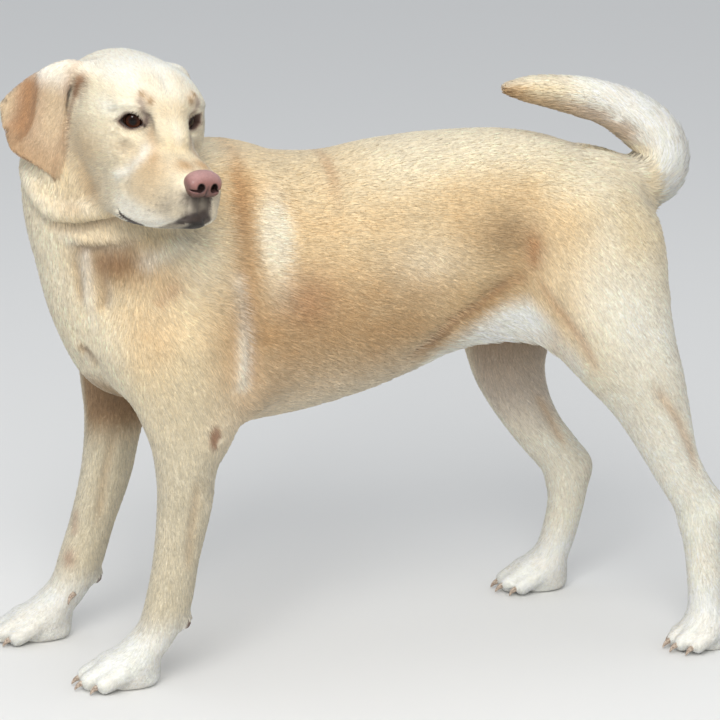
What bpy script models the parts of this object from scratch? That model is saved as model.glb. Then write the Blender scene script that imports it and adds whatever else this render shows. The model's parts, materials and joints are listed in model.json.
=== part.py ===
"""A Labrador dog standing with its head turned back over its left side, life size, for a museum stand.

Metres, +X toward the dog's front, +Y toward its left, +Z up. The body is one smooth form, parted by thin cuts
into the parts a person would name; eyes, nose and claws are pieces of their own, set in sockets.
"""
import bpy
import bmesh
import openvdb
import numpy as np
from math import radians, cos, sin, pi
from mathutils import Matrix, Vector

# ---------------------------------------------------------------- implicit forms
def smin(a, b, k):
    h = np.maximum(k - np.abs(a - b), 0.0) / k
    return np.minimum(a, b) - h * h * (k * 0.25)

def smax(a, b, k):
    return -smin(-a, -b, k)

def unit(v):
    v = np.asarray(v, float)
    return v / np.linalg.norm(v, axis=-1, keepdims=True)

def turn(yaw=0.0, pitch=0.0, roll=0.0):
    """Rotation matrix: columns are the turned X, Y and Z axes (degrees)."""
    y, p, r = radians(yaw), radians(pitch), radians(roll)
    rz = np.array([[cos(y), -sin(y), 0], [sin(y), cos(y), 0], [0, 0, 1]])
    ry = np.array([[cos(p), 0, sin(p)], [0, 1, 0], [-sin(p), 0, cos(p)]])
    rx = np.array([[1, 0, 0], [0, cos(r), -sin(r)], [0, sin(r), cos(r)]])
    return rz @ ry @ rx

def quotient(x, y, z, a, b, c, n):
    """Signed distance, near enough, to the super-ellipsoid of half-axes a, b, c."""
    if n == 2.0:
        k0 = np.sqrt((x / a) ** 2 + (y / b) ** 2 + (z / c) ** 2)
        k1 = np.sqrt((x / a ** 2) ** 2 + (y / b ** 2) ** 2 + (z / c ** 2) ** 2)
        return k0 * (k0 - 1.0) / np.maximum(k1, 1e-6)
    ax, ay, az = np.abs(x) + 1e-7, np.abs(y) + 1e-7, np.abs(z) + 1e-7
    k0 = ((ax / a) ** n + (ay / b) ** n + (az / c) ** n) ** (1.0 / n)
    g = k0 ** (1 - n) * np.sqrt((ax ** (n - 1) / a ** n) ** 2 + (ay ** (n - 1) / b ** n) ** 2 + (az ** (n - 1) / c ** n) ** 2)
    return (k0 - 1.0) / np.maximum(g, 1e-6)

class Form:
    """A shape with its box, the width over which it melts into what is there, and whether it adds or cuts."""
    def __init__(self, f, lo, hi, k, cut=False):
        self.f, self.lo, self.hi, self.k, self.cut = f, np.asarray(lo, float), np.asarray(hi, float), k, cut

def ball(c, r, k=0.01, axes=None, n=2.0, cut=False):
    c = np.asarray(c, float)
    r = np.full(3, r, float) if np.isscalar(r) else np.asarray(r, float)
    m = np.eye(3) if axes is None else np.asarray(axes, float)
    def f(p):
        q = (p - c) @ m
        return quotient(q[:, 0], q[:, 1], q[:, 2], r[0], r[1], r[2], n)
    e = np.sqrt(((m * r) ** 2).sum(1)) if n == 2.0 else np.abs(m) @ r
    return Form(f, c - e, c + e, k, cut)

def smooth_stations(rows, sub):
    rows = np.asarray(rows, float)
    if sub <= 1 or len(rows) < 3:
        return rows
    ext = np.vstack([2 * rows[0] - rows[1], rows, 2 * rows[-1] - rows[-2]])
    out = []
    for i in range(1, len(ext) - 2):
        p0, p1, p2, p3 = ext[i - 1:i + 3]
        for j in range(sub):
            t = j / sub
            out.append(0.5 * (2 * p1 + (p2 - p0) * t + (2 * p0 - 5 * p1 + 4 * p2 - p3) * t ** 2 + (3 * p1 - p0 - 3 * p2 + p3) * t ** 3))
    out.append(rows[-1])
    return np.array(out)

def limb(rows, hint, k=0.02, sub=5, n=2.0, cap=1.0, cut=False):
    """A form of changing section: each row is its centre x, y, z, its half-width, and its half-depths on the hint's side and on the far side."""
    rows = smooth_stations(rows, sub)
    c = rows[:, :3]
    t = unit(np.gradient(c, axis=0))
    h = rows[:, 6:9] if rows.shape[1] > 6 else np.broadcast_to(np.asarray(hint, float), t.shape)
    u = unit(np.cross(h, t))
    v = np.cross(t, u)
    a, bu, bd = rows[:, 3], rows[:, 4], rows[:, 5]
    ab = c[1:] - c[:-1]
    ll = (ab * ab).sum(1)
    soft = 0.9 / ll.mean()
    last = len(ab)
    def f(p):
        # the place on the axis beside the point, softly averaged, then the section there
        low = np.full(len(p), 1e3)
        total = np.zeros(len(p))
        at = np.zeros(len(p))
        for i in range(last):
            w0 = p - c[i]
            s = np.clip((w0 @ ab[i]) / ll[i], 0, 1)
            w = w0 - s[:, None] * ab[i]
            r = (w * w).sum(1)
            new = np.minimum(low, r)
            keep = np.exp((new - low) * soft)
            e = np.exp((new - r) * soft)
            total = total * keep + e
            at = at * keep + e * (i + s)
            low = new
        at = at / total
        i = np.minimum(at.astype(int), last - 1)
        s = at - i
        s1 = s[:, None]
        w = p - (c[i] + ab[i] * s1)
        x = ((u[i] + (u[i + 1] - u[i]) * s1) * w).sum(1)
        y = ((v[i] + (v[i + 1] - v[i]) * s1) * w).sum(1)
        z = np.maximum(np.where(at < last * 0.5, (c[0] - p) @ t[0], (p - c[-1]) @ t[-1]), 0.0)
        aa = a[i] + (a[i + 1] - a[i]) * s
        bb = np.where(y > 0, bu[i] + (bu[i + 1] - bu[i]) * s, bd[i] + (bd[i + 1] - bd[i]) * s)
        return quotient(x, y, z, aa, bb, np.minimum(aa, bb) * cap, n)
    m = np.maximum(np.maximum(a, bu), bd)[:, None]
    return Form(f, (c - m).min(0), (c + m).max(0), k, cut)

def cone(p0, p1, r0, r1, k=0.01, cut=False):
    return limb([[*p0, r0, r0, r0], [*p1, r1, r1, r1]], (0.31, 0.52, 0.79), k, 1, cut=cut)

def outline_distance(x, y, ring):
    """Signed distance in the plane from a closed outline."""
    d = np.full(len(x), 1e3)
    odd = np.zeros(len(x), bool)
    for (x0, y0), (x1, y1) in zip(ring, np.roll(ring, -1, axis=0)):
        ex, ey = x1 - x0, y1 - y0
        wx, wy = x - x0, y - y0
        s = np.clip((wx * ex + wy * ey) / (ex * ex + ey * ey), 0, 1)
        d = np.minimum(d, (wx - ex * s) ** 2 + (wy - ey * s) ** 2)
        if y0 != y1:
            odd ^= ((y0 > y) != (y1 > y)) & (x < x0 + ex * (y - y0) / ey)
    return np.where(odd, -1.0, 1.0) * np.sqrt(d)

def rounded(ring, sub):
    """A closed outline through the given points, smoothed."""
    ring = np.asarray(ring, float)
    out = []
    for i in range(len(ring)):
        p0, p1, p2, p3 = (ring[(i + j) % len(ring)] for j in (-1, 0, 1, 2))
        for j in range(sub):
            t = j / sub
            out.append(0.5 * (2 * p1 + (p2 - p0) * t + (2 * p0 - 5 * p1 + 4 * p2 - p3) * t ** 2 + (3 * p1 - p0 - 3 * p2 + p3) * t ** 3))
    return np.array(out)

def sheet(at, axes, ring, thick, bend, k=0.01, sub=3):
    """A bent flap: outline in its own plane (columns 0, 1 of axes), half-thickness, and a function of the plane giving its rise along column 2."""
    at, axes = np.asarray(at, float), np.asarray(axes, float)
    ring = rounded(ring, sub)
    def f(p):
        q = (p - at) @ axes
        rise, lean = bend(q[:, 0], q[:, 1])
        n = (q[:, 2] - rise) / lean
        return np.hypot(np.maximum(outline_distance(q[:, 0], q[:, 1], ring) + thick, 0.0), n) - thick
    top = np.concatenate([np.c_[ring, np.full(len(ring), z)] for z in (-0.03, 0.03)]) @ axes.T + at
    return Form(f, top.min(0), top.max(0), k)

class Group:
    """Forms melted together in their own frame, then into the whole."""
    def __init__(self, forms, k, place=(0, 0, 0), axes=None, name=''):
        self.forms, self.k, self.name = forms, k, name
        self.place = np.asarray(place, float)
        self.axes = None if axes is None else np.asarray(axes, float)
    def local(self, p):
        q = p - self.place
        return q if self.axes is None else q @ self.axes
    def box(self):
        lo = np.min([f.lo for f in self.forms if not f.cut], 0)
        hi = np.max([f.hi for f in self.forms if not f.cut], 0)
        if self.axes is not None:
            corners = np.array([[x, y, z] for x in (lo[0], hi[0]) for y in (lo[1], hi[1]) for z in (lo[2], hi[2])])
            corners = corners @ self.axes.T
            lo, hi = corners.min(0), corners.max(0)
        return lo + self.place, hi + self.place
    def distance(self, p, near):
        q = self.local(p)
        d = np.full(len(p), 1.0)
        for form in self.forms:
            m = near + form.k
            inside = np.nonzero(np.all((q > form.lo - m) & (q < form.hi + m), axis=1))[0]
            if len(inside) == 0:
                continue
            e = form.f(q[inside])
            d[inside] = smax(d[inside], -e, form.k) if form.cut else smin(d[inside], e, form.k)
        return d

def whole(groups, p, near=0.02, floor=True):
    """Distance of points from the surface of all groups; right only within 'near' of the surface."""
    d = np.full(len(p), 1.0)
    for g in groups:
        lo, hi = g.box()
        m = near + g.k + max(f.k for f in g.forms)
        inside = np.nonzero(np.all((p > lo - m) & (p < hi + m), axis=1))[0]
        if len(inside):
            d[inside] = smin(d[inside], g.distance(p[inside], near), g.k)
    if floor:
        d = np.maximum(d, -p[:, 2])
    return d

def axis(lo, hi, spans):
    """Grid lines from lo to hi; spans lists (from, to, step), the step outside them is the first entry's."""
    base = spans[0]
    xs = [lo]
    while xs[-1] < hi:
        x = xs[-1]
        h = base
        for a, b, s in spans[1:]:
            if a <= x < b:
                h = min(h, s)
            elif x < a:
                h = min(h, s + (a - x) * 0.25)
            else:
                h = min(h, s + (x - b) * 0.25)
        xs.append(x + h)
    return np.array(xs)

def surface(field, X, Y, Z, coarse=4, reach=1.2, newton=2):
    """Closed mesh (points, quads) of the zero set of field(points, near) on the grid of lines X, Y, Z."""
    def pad(a):
        n = (-(len(a) - 1)) % coarse
        return np.concatenate([a, a[-1] + (a[-1] - a[-2]) * np.arange(1, n + 1)]) if n else a
    X, Y, Z = pad(X), pad(Y), pad(Z)
    cx, cy, cz = X[::coarse], Y[::coarse], Z[::coarse]
    span = max(np.diff(cx).max(), np.diff(cy).max(), np.diff(cz).max())
    P = np.stack(np.meshgrid(cx, cy, cz, indexing='ij'), -1).reshape(-1, 3)
    near = span * 2.0
    d = field(P, near).reshape(len(cx), len(cy), len(cz))
    diag = np.sqrt(np.diff(cx)[:, None, None] ** 2 + np.diff(cy)[None, :, None] ** 2 + np.diff(cz)[None, None, :] ** 2)
    c = np.stack([d[i:i + d.shape[0] - 1, j:j + d.shape[1] - 1, k:k + d.shape[2] - 1] for i in (0, 1) for j in (0, 1) for k in (0, 1)])
    live = (np.abs(c).min(0) < diag * reach) | ((c.min(0) < 0) & (c.max(0) > 0))
    full = np.repeat(np.repeat(np.repeat(c[0], coarse, 0), coarse, 1), coarse, 2)
    mask = np.repeat(np.repeat(np.repeat(live, coarse, 0), coarse, 1), coarse, 2)
    full = np.pad(full, ((0, 1),) * 3, constant_values=1.0)
    mask = np.pad(mask, ((0, 1),) * 3)
    m2 = mask.copy()
    m2[1:] |= mask[:-1]; m3 = m2.copy(); m3[:, 1:] |= m2[:, :-1]; m4 = m3.copy(); m4[:, :, 1:] |= m3[:, :, :-1]
    idx = np.argwhere(m4)
    vals = np.empty(len(idx))
    step = 400000
    hmax = max(np.diff(X).max(), np.diff(Y).max(), np.diff(Z).max())
    for a in range(0, len(idx), step):
        i = idx[a:a + step]
        vals[a:a + step] = field(np.stack([X[i[:, 0]], Y[i[:, 1]], Z[i[:, 2]]], -1), near)
    full[m4] = vals
    full = np.clip(full, -0.05, 0.05).astype(np.float32)
    grid = openvdb.FloatGrid(0.05)
    grid.copyFromArray(full)
    points, quads = grid.convertToQuads(0.0)
    pts = np.stack([np.interp(points[:, 0], np.arange(len(X)), X), np.interp(points[:, 1], np.arange(len(Y)), Y), np.interp(points[:, 2], np.arange(len(Z)), Z)], -1)
    for _ in range(newton):
        dv, g = slope(field, pts, near)
        s = dv / np.maximum((g * g).sum(1), 0.25)
        pts = pts - np.clip(s, -hmax, hmax)[:, None] * g * 0.9
    return pts, np.asarray(quads), (len(idx), full.size)

def slope(field, p, near=0.02, e=0.0004):
    """Value and gradient of the field at points."""
    d = field(p, near)
    g = np.empty((len(p), 3))
    for k in range(3):
        q = p.copy(); q[:, k] += e
        r = p.copy(); r[:, k] -= e
        g[:, k] = (field(q, near) - field(r, near)) / (2 * e)
    return d, g

# ---------------------------------------------------------------- the animal's measures (m; +X its front, +Y its left, +Z up)
HEAD_AT, HEAD_TURN = (0.230, 0.110, 0.617), (106.0, 8.5, -6.5)

def mirror(rows, dx=0.0):
    return [[r[0] + dx, -r[1], *r[2:]] for r in rows]

TRUNK = [  # x, y, z, half-width, up, down
    (0.250, 0.0, 0.392, 0.066, 0.088, 0.088),
    (0.215, 0.0, 0.405, 0.086, 0.118, 0.120),
    (0.150, 0.0, 0.420, 0.104, 0.146, 0.153),
    (0.085, 0.0, 0.420, 0.114, 0.136, 0.145),
    (0.020, 0.0, 0.425, 0.119, 0.129, 0.131),
    (-0.045, 0.0, 0.437, 0.115, 0.128, 0.117),
    (-0.100, 0.0, 0.450, 0.104, 0.121, 0.105),
    (-0.150, 0.0, 0.460, 0.096, 0.110, 0.101),
    (-0.200, 0.0, 0.462, 0.092, 0.100, 0.100),
    (-0.240, 0.0, 0.460, 0.078, 0.086, 0.090)]
NECK = [  # x, y, z, half-width, front, back
    (0.190, 0.000, 0.400, 0.088, 0.106, 0.100),
    (0.222, 0.000, 0.455, 0.080, 0.113, 0.115),
    (0.250, 0.002, 0.515, 0.071, 0.104, 0.100),
    (0.264, 0.008, 0.570, 0.064, 0.088, 0.075),
    (0.262, 0.020, 0.615, 0.055, 0.055, 0.055)]
FORE_L = [
    (0.215, 0.082, 0.370, 0.044, 0.060, 0.062),
    (0.206, 0.092, 0.320, 0.038, 0.050, 0.052),
    (0.202, 0.094, 0.280, 0.031, 0.040, 0.041),
    (0.203, 0.090, 0.240, 0.0275, 0.0315, 0.0315),
    (0.204, 0.087, 0.205, 0.0250, 0.0290, 0.0290),
    (0.212, 0.080, 0.144, 0.0225, 0.0245, 0.0245),
    (0.220, 0.074, 0.095, 0.0240, 0.0240, 0.0250),
    (0.232, 0.068, 0.060, 0.0225, 0.0210, 0.0210),
    (0.248, 0.062, 0.036, 0.0235, 0.0210, 0.0200)]
FORE_R = [
    (0.228, -0.082, 0.370, 0.044, 0.058, 0.062),
    (0.236, -0.090, 0.320, 0.038, 0.050, 0.050),
    (0.242, -0.092, 0.280, 0.031, 0.040, 0.041),
    (0.247, -0.091, 0.246, 0.0275, 0.0320, 0.0320),
    (0.256, -0.090, 0.190, 0.0250, 0.0280, 0.0280),
    (0.273, -0.088, 0.133, 0.0225, 0.0245, 0.0245),
    (0.287, -0.088, 0.090, 0.0240, 0.0240, 0.0250),
    (0.301, -0.090, 0.058, 0.0225, 0.0210, 0.0210),
    (0.318, -0.094, 0.036, 0.0235, 0.0210, 0.0200)]
HIND_L = [
    (-0.215, 0.058, 0.470, 0.052, 0.070, 0.072),
    (-0.235, 0.074, 0.420, 0.054, 0.075, 0.084),
    (-0.255, 0.086, 0.375, 0.050, 0.066, 0.075),
    (-0.275, 0.095, 0.338, 0.043, 0.057, 0.057),
    (-0.293, 0.100, 0.305, 0.036, 0.047, 0.045),
    (-0.310, 0.100, 0.268, 0.030, 0.038, 0.036),
    (-0.333, 0.098, 0.212, 0.0240, 0.0270, 0.0275),
    (-0.355, 0.096, 0.170, 0.0210, 0.0230, 0.0280),
    (-0.363, 0.095, 0.145, 0.0215, 0.0225, 0.0270),
    (-0.370, 0.095, 0.112, 0.0195, 0.0205, 0.0210),
    (-0.375, 0.096, 0.060, 0.0190, 0.0195, 0.0200),
    (-0.376, 0.098, 0.034, 0.0215, 0.0200, 0.0190)]
HIND_R = [
    (-0.205, -0.058, 0.470, 0.052, 0.070, 0.072),
    (-0.207, -0.074, 0.420, 0.054, 0.075, 0.080),
    (-0.205, -0.086, 0.375, 0.050, 0.066, 0.072),
    (-0.200, -0.094, 0.338, 0.043, 0.058, 0.060),
    (-0.202, -0.098, 0.305, 0.037, 0.050, 0.050),
    (-0.208, -0.100, 0.269, 0.030, 0.042, 0.040),
    (-0.221, -0.101, 0.233, 0.0250, 0.0330, 0.0340),
    (-0.243, -0.101, 0.196, 0.0225, 0.0280, 0.0290),
    (-0.268, -0.102, 0.158, 0.0210, 0.0230, 0.0310),
    (-0.277, -0.103, 0.135, 0.0215, 0.0235, 0.0280),
    (-0.279, -0.105, 0.105, 0.0195, 0.0210, 0.0220),
    (-0.272, -0.110, 0.061, 0.0190, 0.0200, 0.0200),
    (-0.263, -0.113, 0.034, 0.0215, 0.0200, 0.0190)]
TAIL = [
    (-0.258, 0.0, 0.498, 0.036, 0.036, 0.036),
    (-0.300, 0.0, 0.500, 0.032, 0.032, 0.032),
    (-0.333, 0.0, 0.512, 0.031, 0.031, 0.031),
    (-0.338, 0.0, 0.540, 0.0295, 0.0295, 0.0295),
    (-0.318, 0.0, 0.566, 0.0270, 0.0270, 0.0270),
    (-0.286, 0.0, 0.586, 0.0240, 0.0240, 0.0240),
    (-0.250, 0.0, 0.599, 0.0225, 0.0225, 0.0225),
    (-0.206, 0.0, 0.608, 0.0178, 0.0178, 0.0178),
    (-0.178, 0.0, 0.6110, 0.0130, 0.0130, 0.0130),
    (-0.164, 0.0, 0.6120, 0.0062, 0.0062, 0.0062)]

# rolls of loose skin at the throat: under the jaw, and a smaller one below it
ROLLS = [[(0.330, -0.044, 0.556, 0.006, 0.006, 0.006),
          (0.3405, -0.015, 0.556, 0.011, 0.011, 0.011),
          (0.3415, 0.0200, 0.543, 0.0145, 0.0155, 0.0145),
          (0.3285, 0.0400, 0.522, 0.0155, 0.0165, 0.0150),
          (0.3066, 0.0558, 0.517, 0.0155, 0.0165, 0.0142),
          (0.2768, 0.0668, 0.521, 0.0145, 0.0155, 0.0135),
          (0.2500, 0.0680, 0.526, 0.0090, 0.0110, 0.0090)],
         [(0.3200, 0.0405, 0.497, 0.0060, 0.0060, 0.0060),
          (0.3060, 0.0525, 0.4912, 0.0100, 0.0100, 0.0100),
          (0.2908, 0.0592, 0.4875, 0.0112, 0.0115, 0.0112),
          (0.2692, 0.0658, 0.4897, 0.0112, 0.0115, 0.0112),
          (0.2480, 0.0670, 0.4970, 0.0080, 0.0090, 0.0080)]]

# elbow and hock points, and the pads behind the wrists: place, size, blend
POINTS = {'fore_left': ((0.180, 0.100, 0.288), 0.020, 0.025), 'fore_right': ((0.220, -0.098, 0.288), 0.020, 0.025),
          'hind_left': ((-0.377, 0.096, 0.160), 0.0135, 0.020), 'hind_right': ((-0.291, -0.103, 0.150), 0.0135, 0.020)}
WRIST_PADS = {'fore_left': (0.202, 0.077, 0.072), 'fore_right': (0.269, -0.089, 0.068)}
DEWCLAWS = {'fore_left': ((0.230, 0.0475, 0.060), (0.237, 0.0440, 0.050)), 'fore_right': ((0.298, -0.0675, 0.057), (0.306, -0.0640, 0.047))}

# paws: centre x, y; yaw in degrees; length scale
PAWS = {'fore_left': (0.268, 0.060, 2.0, 1.0), 'fore_right': (0.338, -0.096, 3.0, 1.0),
        'hind_left': (-0.374, 0.101, 10.0, 0.90), 'hind_right': (-0.246, -0.114, 3.0, 0.94)}
# toes of a left paw, from the inner one outward: knuckle x, y, z, tip x, y, z, radii
TOES = [((0.006, -0.0215, 0.0190), (0.024, -0.0225, 0.0110), 0.0112, 0.0100),
        ((0.014, -0.0078, 0.0220), (0.036, -0.0080, 0.0112), 0.0122, 0.0105),
        ((0.014, 0.0078, 0.0220), (0.036, 0.0080, 0.0112), 0.0122, 0.0105),
        ((0.005, 0.0215, 0.0190), (0.023, 0.0225, 0.0110), 0.0112, 0.0100)]

def paw(name):
    x, y, yaw, s = PAWS[name]
    side = 1.0 if name.endswith('left') else -1.0
    forms = [ball((-0.006, 0, 0.0200), (0.034 * s, 0.0270 * s, 0.0210), 0.01),
             ball((-0.010, 0, 0.0100), (0.030 * s, 0.0250 * s, 0.0115), 0.008, n=2.6)]
    for (kx, ky, kz), (tx, ty, tz), r0, r1 in TOES:
        forms.append(cone((kx * s, ky * side * s, kz), (tx * s, ty * side * s, tz), r0 * s, r1 * s, 0.005))
    return Group(forms, 0.014, (x, y, 0.0), turn(yaw), name + '_paw')

def head_forms():
    f = [ball((-0.052, 0, 0.003), (0.070, 0.060, 0.046), 0.02),
         ball((-0.020, 0, 0.013), (0.044, 0.047, 0.029), 0.02),
         ball((0.014, 0, -0.010), (0.032, 0.024, 0.020), 0.018),
         limb([(-0.020, 0, -0.036, 0.047, 0.032, 0.056),
               (0.015, 0, -0.040, 0.038, 0.031, 0.053),
               (0.045, 0, -0.043, 0.0325, 0.0280, 0.0475),
               (0.075, 0, -0.044, 0.0295, 0.0275, 0.0362),
               (0.093, 0, -0.044, 0.0265, 0.0250, 0.0285)], (0, 0, 1), 0.014, 5, 2.5, 0.45),
         ball((-0.045, 0, -0.055), (0.058, 0.046, 0.040), 0.022),
         ball((0.0725, 0.0018, -0.0742), (0.0360, 0.0212, 0.0115), 0.010, turn(0, -13))]
    for s in (-1, 1):
        f += [ball((-0.040, s * 0.034, -0.022), (0.048, 0.032, 0.038), 0.02),
              ball((-0.006, s * 0.027, 0.014), (0.020, 0.019, 0.011), 0.012),
              ball((0.0300, s * 0.0240, -0.0700), (0.066, 0.0148, 0.0275), 0.012, turn(-6 * s, -12), 2.5),
              ball((-0.072, s * 0.050, 0.022), (0.024, 0.016, 0.013), 0.014),
              ball((0.0150, s * 0.0325, 0.0005), (0.0110, 0.0150, 0.0088), 0.008, cut=True)]
    return f

# the flap of an ear in its own plane: first measure away from the head along the top fold, second down toward the tip
EAR_RING = [(0.002, 0.0045), (0.0080, 0.0211), (0.0069, 0.0420), (0.0002, 0.0665), (-0.0033, 0.0895), (-0.0041, 0.1081),
            (-0.0002, 0.1190), (0.0072, 0.1161), (0.0218, 0.1118), (0.0370, 0.1096), (0.0515, 0.1057), (0.0655, 0.0937),
            (0.0745, 0.0825), (0.0785, 0.0720), (0.0790, 0.0640), (0.0695, 0.0475), (0.0573, 0.0310), (0.0434, 0.0165),
            (0.0306, 0.0045), (0.0190, -0.0025), (0.0089, -0.0045), (0.0021, -0.0010)]
EAR_AT = {'left': (-0.066, 0.057, 0.0265), 'right': (-0.062, -0.061, 0.032)}
EAR_THICK = 0.0042
EAR_SWING = {'left': 16.0, 'right': 0.0}  # degrees by which the flap lies back toward the neck

def soft_ramp(x, w):
    r = np.sqrt(x * x + w * w)
    return 0.5 * (x + r), 0.5 * (1 + x / r)

def ear_fold(t):
    """Place along the flap where its fold lies, and how fast it moves back toward the tip."""
    z = np.maximum(t - 0.060, 0.0)
    return 0.0395 - 0.12 * (t - 0.020) + 12.0 * z * z, -0.12 + 24.0 * z

def ear_bend(s, t):
    """Rise of the flap off its plane: the fold down its middle, with a hollow behind it, a rolled front edge and the bend at its root."""
    at, move = ear_fold(t)
    a, da = soft_ramp(s - at, 0.004)
    b, db = soft_ramp(0.012 - s, 0.008)
    c, dc = soft_ramp(s - at - 0.018, 0.008)
    deep = 0.0080 * np.clip((0.108 - t) / 0.030, 0.0, 1.0)
    z = np.maximum(0.022 - t, 0.0)
    rise = -0.26 * a - deep * (1 - np.exp(-a / 0.007)) + 0.22 * c - 0.35 * b - 10.0 * z * z
    dx = -0.26 * da - deep / 0.007 * np.exp(-a / 0.007) * da + 0.22 * dc
    ds = dx + 0.35 * db
    dt = -dx * move + 20.0 * z
    return rise, np.sqrt(1 + ds * ds + dt * dt)

def ear_axes(side):
    m = 1.0 if side == 'left' else -1.0
    fold = np.array((-0.7494, m * 0.6559, 0.0906))
    down = unit((-0.0511, m * 0.0791, -0.9956))
    out = np.array((0.6602, m * 0.7507, 0.0258))
    q = radians(EAR_SWING[side])
    fold, out = fold * cos(q) - out * sin(q), out * cos(q) + fold * sin(q)
    return np.stack([unit(fold), down, unit(out)], 1)

def ear_forms(side):
    m = 1.0 if side == 'left' else -1.0
    at = np.array(EAR_AT[side])
    return [sheet(at, ear_axes(side), EAR_RING, EAR_THICK, ear_bend, 0.006, 3)]

def dog():
    g = []
    g.append(Group([limb(TRUNK, (0, 0, 1), 0.03, 5, 2.15)], 0.03, name='trunk'))
    chest = [ball((0.262, 0, 0.366), (0.034, 0.036, 0.046), 0.03)]
    for s in (-1, 1):
        chest += [ball((0.240, s * 0.062, 0.372), (0.046, 0.040, 0.056), 0.03),
                  ball((0.165, s * 0.080, 0.340), (0.056, 0.032, 0.058), 0.03),
                  limb([(0.130, s * 0.045, 0.525, 0.025, 0.05, 0.05), (0.185, s * 0.070, 0.44, 0.030, 0.055, 0.055), (0.225, s * 0.078, 0.37, 0.030, 0.045, 0.05)], (1, 0, 0), 0.03, 5),
                  ball((-0.262, s * 0.052, 0.440), (0.062, 0.046, 0.070), 0.03),
                  limb([(-0.10, s * 0.072, 0.384, 0.010, 0.024, 0.024), (-0.200, s * 0.080, 0.377, 0.010, 0.024, 0.024)], (0, 0, 1), 0.03, 1)]
    g.append(Group(chest, 0.03, name='chest'))
    g.append(Group([limb(NECK, (1, 0, 0), 0.03)], 0.03, name='neck'))
    g.append(Group([limb(rows, (0, 0, 1), 0.004) for rows in ROLLS], 0.006, name='throat'))
    for name, rows in (('fore_left', FORE_L), ('fore_right', FORE_R), ('hind_left', HIND_L), ('hind_right', HIND_R)):
        g.append(Group([limb(rows, (1, 0, 0), 0.01), ball(*POINTS[name])], 0.022, name=name))
        g.append(paw(name))
    g.append(Group([ball(c, (0.0075, 0.0080, 0.0095), 0.01) for c in WRIST_PADS.values()], 0.010, name='wrist_pads'))
    g.append(Group([limb(TAIL, (0, 1, 0), 0.01)], 0.028, name='tail'))
    h = turn(*HEAD_TURN)
    head = head_forms()
    g.append(Group(head, 0.024, HEAD_AT, h, 'head'))
    g += [Group(ear_forms(side), 0.005, HEAD_AT, h, 'ear_' + side) for side in ('left', 'right')]
    return g

# ---------------------------------------------------------------- parting and fittings
NAME = 'labrador_dog'
GAP = 0.0004            # width of the cuts between parts
CLEAR = 0.00035         # room round eyes, nose and claws
FLESH_TRIS = 3900       # triangles of the body before it is parted
EAR_TRIS = 330
EYE_RADIUS = 0.0115
EYE_AT = (-0.0020, 0.0272, 0.0010)    # in the head's frame, left eye
NOSE_AT = (0.1035, 0.0, -0.0295)
NOSE_HALF = (0.0125, 0.0195, 0.0135)
CLAW_LENGTH, CLAW_ROOT = 0.0120, 0.0030
SHIFT = (0.01028, -0.03720, 0.0)  # brings the middle of the box under the origin

COLOURS = {
    'coat_cream': (0.62, 0.50, 0.32, 1), 'coat_pale': (0.78, 0.70, 0.54, 1), 'coat_tan': (0.55, 0.36, 0.20, 1),
    'eye_gloss': (0.03, 0.015, 0.01, 1), 'nose_leather': (0.28, 0.15, 0.13, 1), 'claw_horn': (0.45, 0.33, 0.26, 1)}
ROUGH = {'coat_cream': 0.9, 'coat_pale': 0.9, 'coat_tan': 0.9, 'eye_gloss': 0.08, 'nose_leather': 0.45, 'claw_horn': 0.4}


def clear_scene():
    for o in list(bpy.data.objects):
        bpy.data.objects.remove(o, do_unlink=True)
    for c in list(bpy.data.collections):
        bpy.data.collections.remove(c)


def material(name, slot):
    m = bpy.data.materials.new(name)
    m.use_nodes = True
    b = m.node_tree.nodes['Principled BSDF']
    b.inputs['Base Color'].default_value = COLOURS[slot]
    b.inputs['Roughness'].default_value = ROUGH[slot]
    return m


def put(name, verts, faces, where):
    me = bpy.data.meshes.new(name)
    me.from_pydata([tuple(float(c) for c in v) for v in verts], [], [tuple(int(i) for i in f) for f in faces])
    me.update()
    ob = bpy.data.objects.new(name, me)
    where.objects.link(ob)
    return ob


def outward(ob):
    bm = bmesh.new()
    bm.from_mesh(ob.data)
    bmesh.ops.recalc_face_normals(bm, faces=bm.faces)
    if bm.calc_volume(signed=True) < 0:
        bmesh.ops.reverse_faces(bm, faces=bm.faces)
    bm.to_mesh(ob.data)
    bm.free()


def bake(ob):
    deps = bpy.context.evaluated_depsgraph_get()
    deps.update()
    me = bpy.data.meshes.new_from_object(ob.evaluated_get(deps))
    ob.modifiers.clear()
    old = ob.data
    ob.data = me
    bpy.data.meshes.remove(old)


def thin_out(ob, tris):
    m = ob.modifiers.new('tri', 'TRIANGULATE')
    bake(ob)
    n = len(ob.data.polygons)
    if n > tris:
        m = ob.modifiers.new('dec', 'DECIMATE')
        m.ratio = tris / n
        bake(ob)


def boolean(ob, cutter, how='DIFFERENCE'):
    m = ob.modifiers.new('cut', 'BOOLEAN')
    m.operation = how
    m.solver = 'EXACT'
    m.object = cutter
    bake(ob)


def tidy(ob):
    """Joins doubled points, drops slivers without area and leaves triangles."""
    bm = bmesh.new()
    bm.from_mesh(ob.data)
    bmesh.ops.remove_doubles(bm, verts=bm.verts, dist=0.00002)
    bmesh.ops.dissolve_degenerate(bm, edges=bm.edges, dist=0.00002)
    bmesh.ops.triangulate(bm, faces=bm.faces)
    bm.to_mesh(ob.data)
    bm.free()


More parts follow.
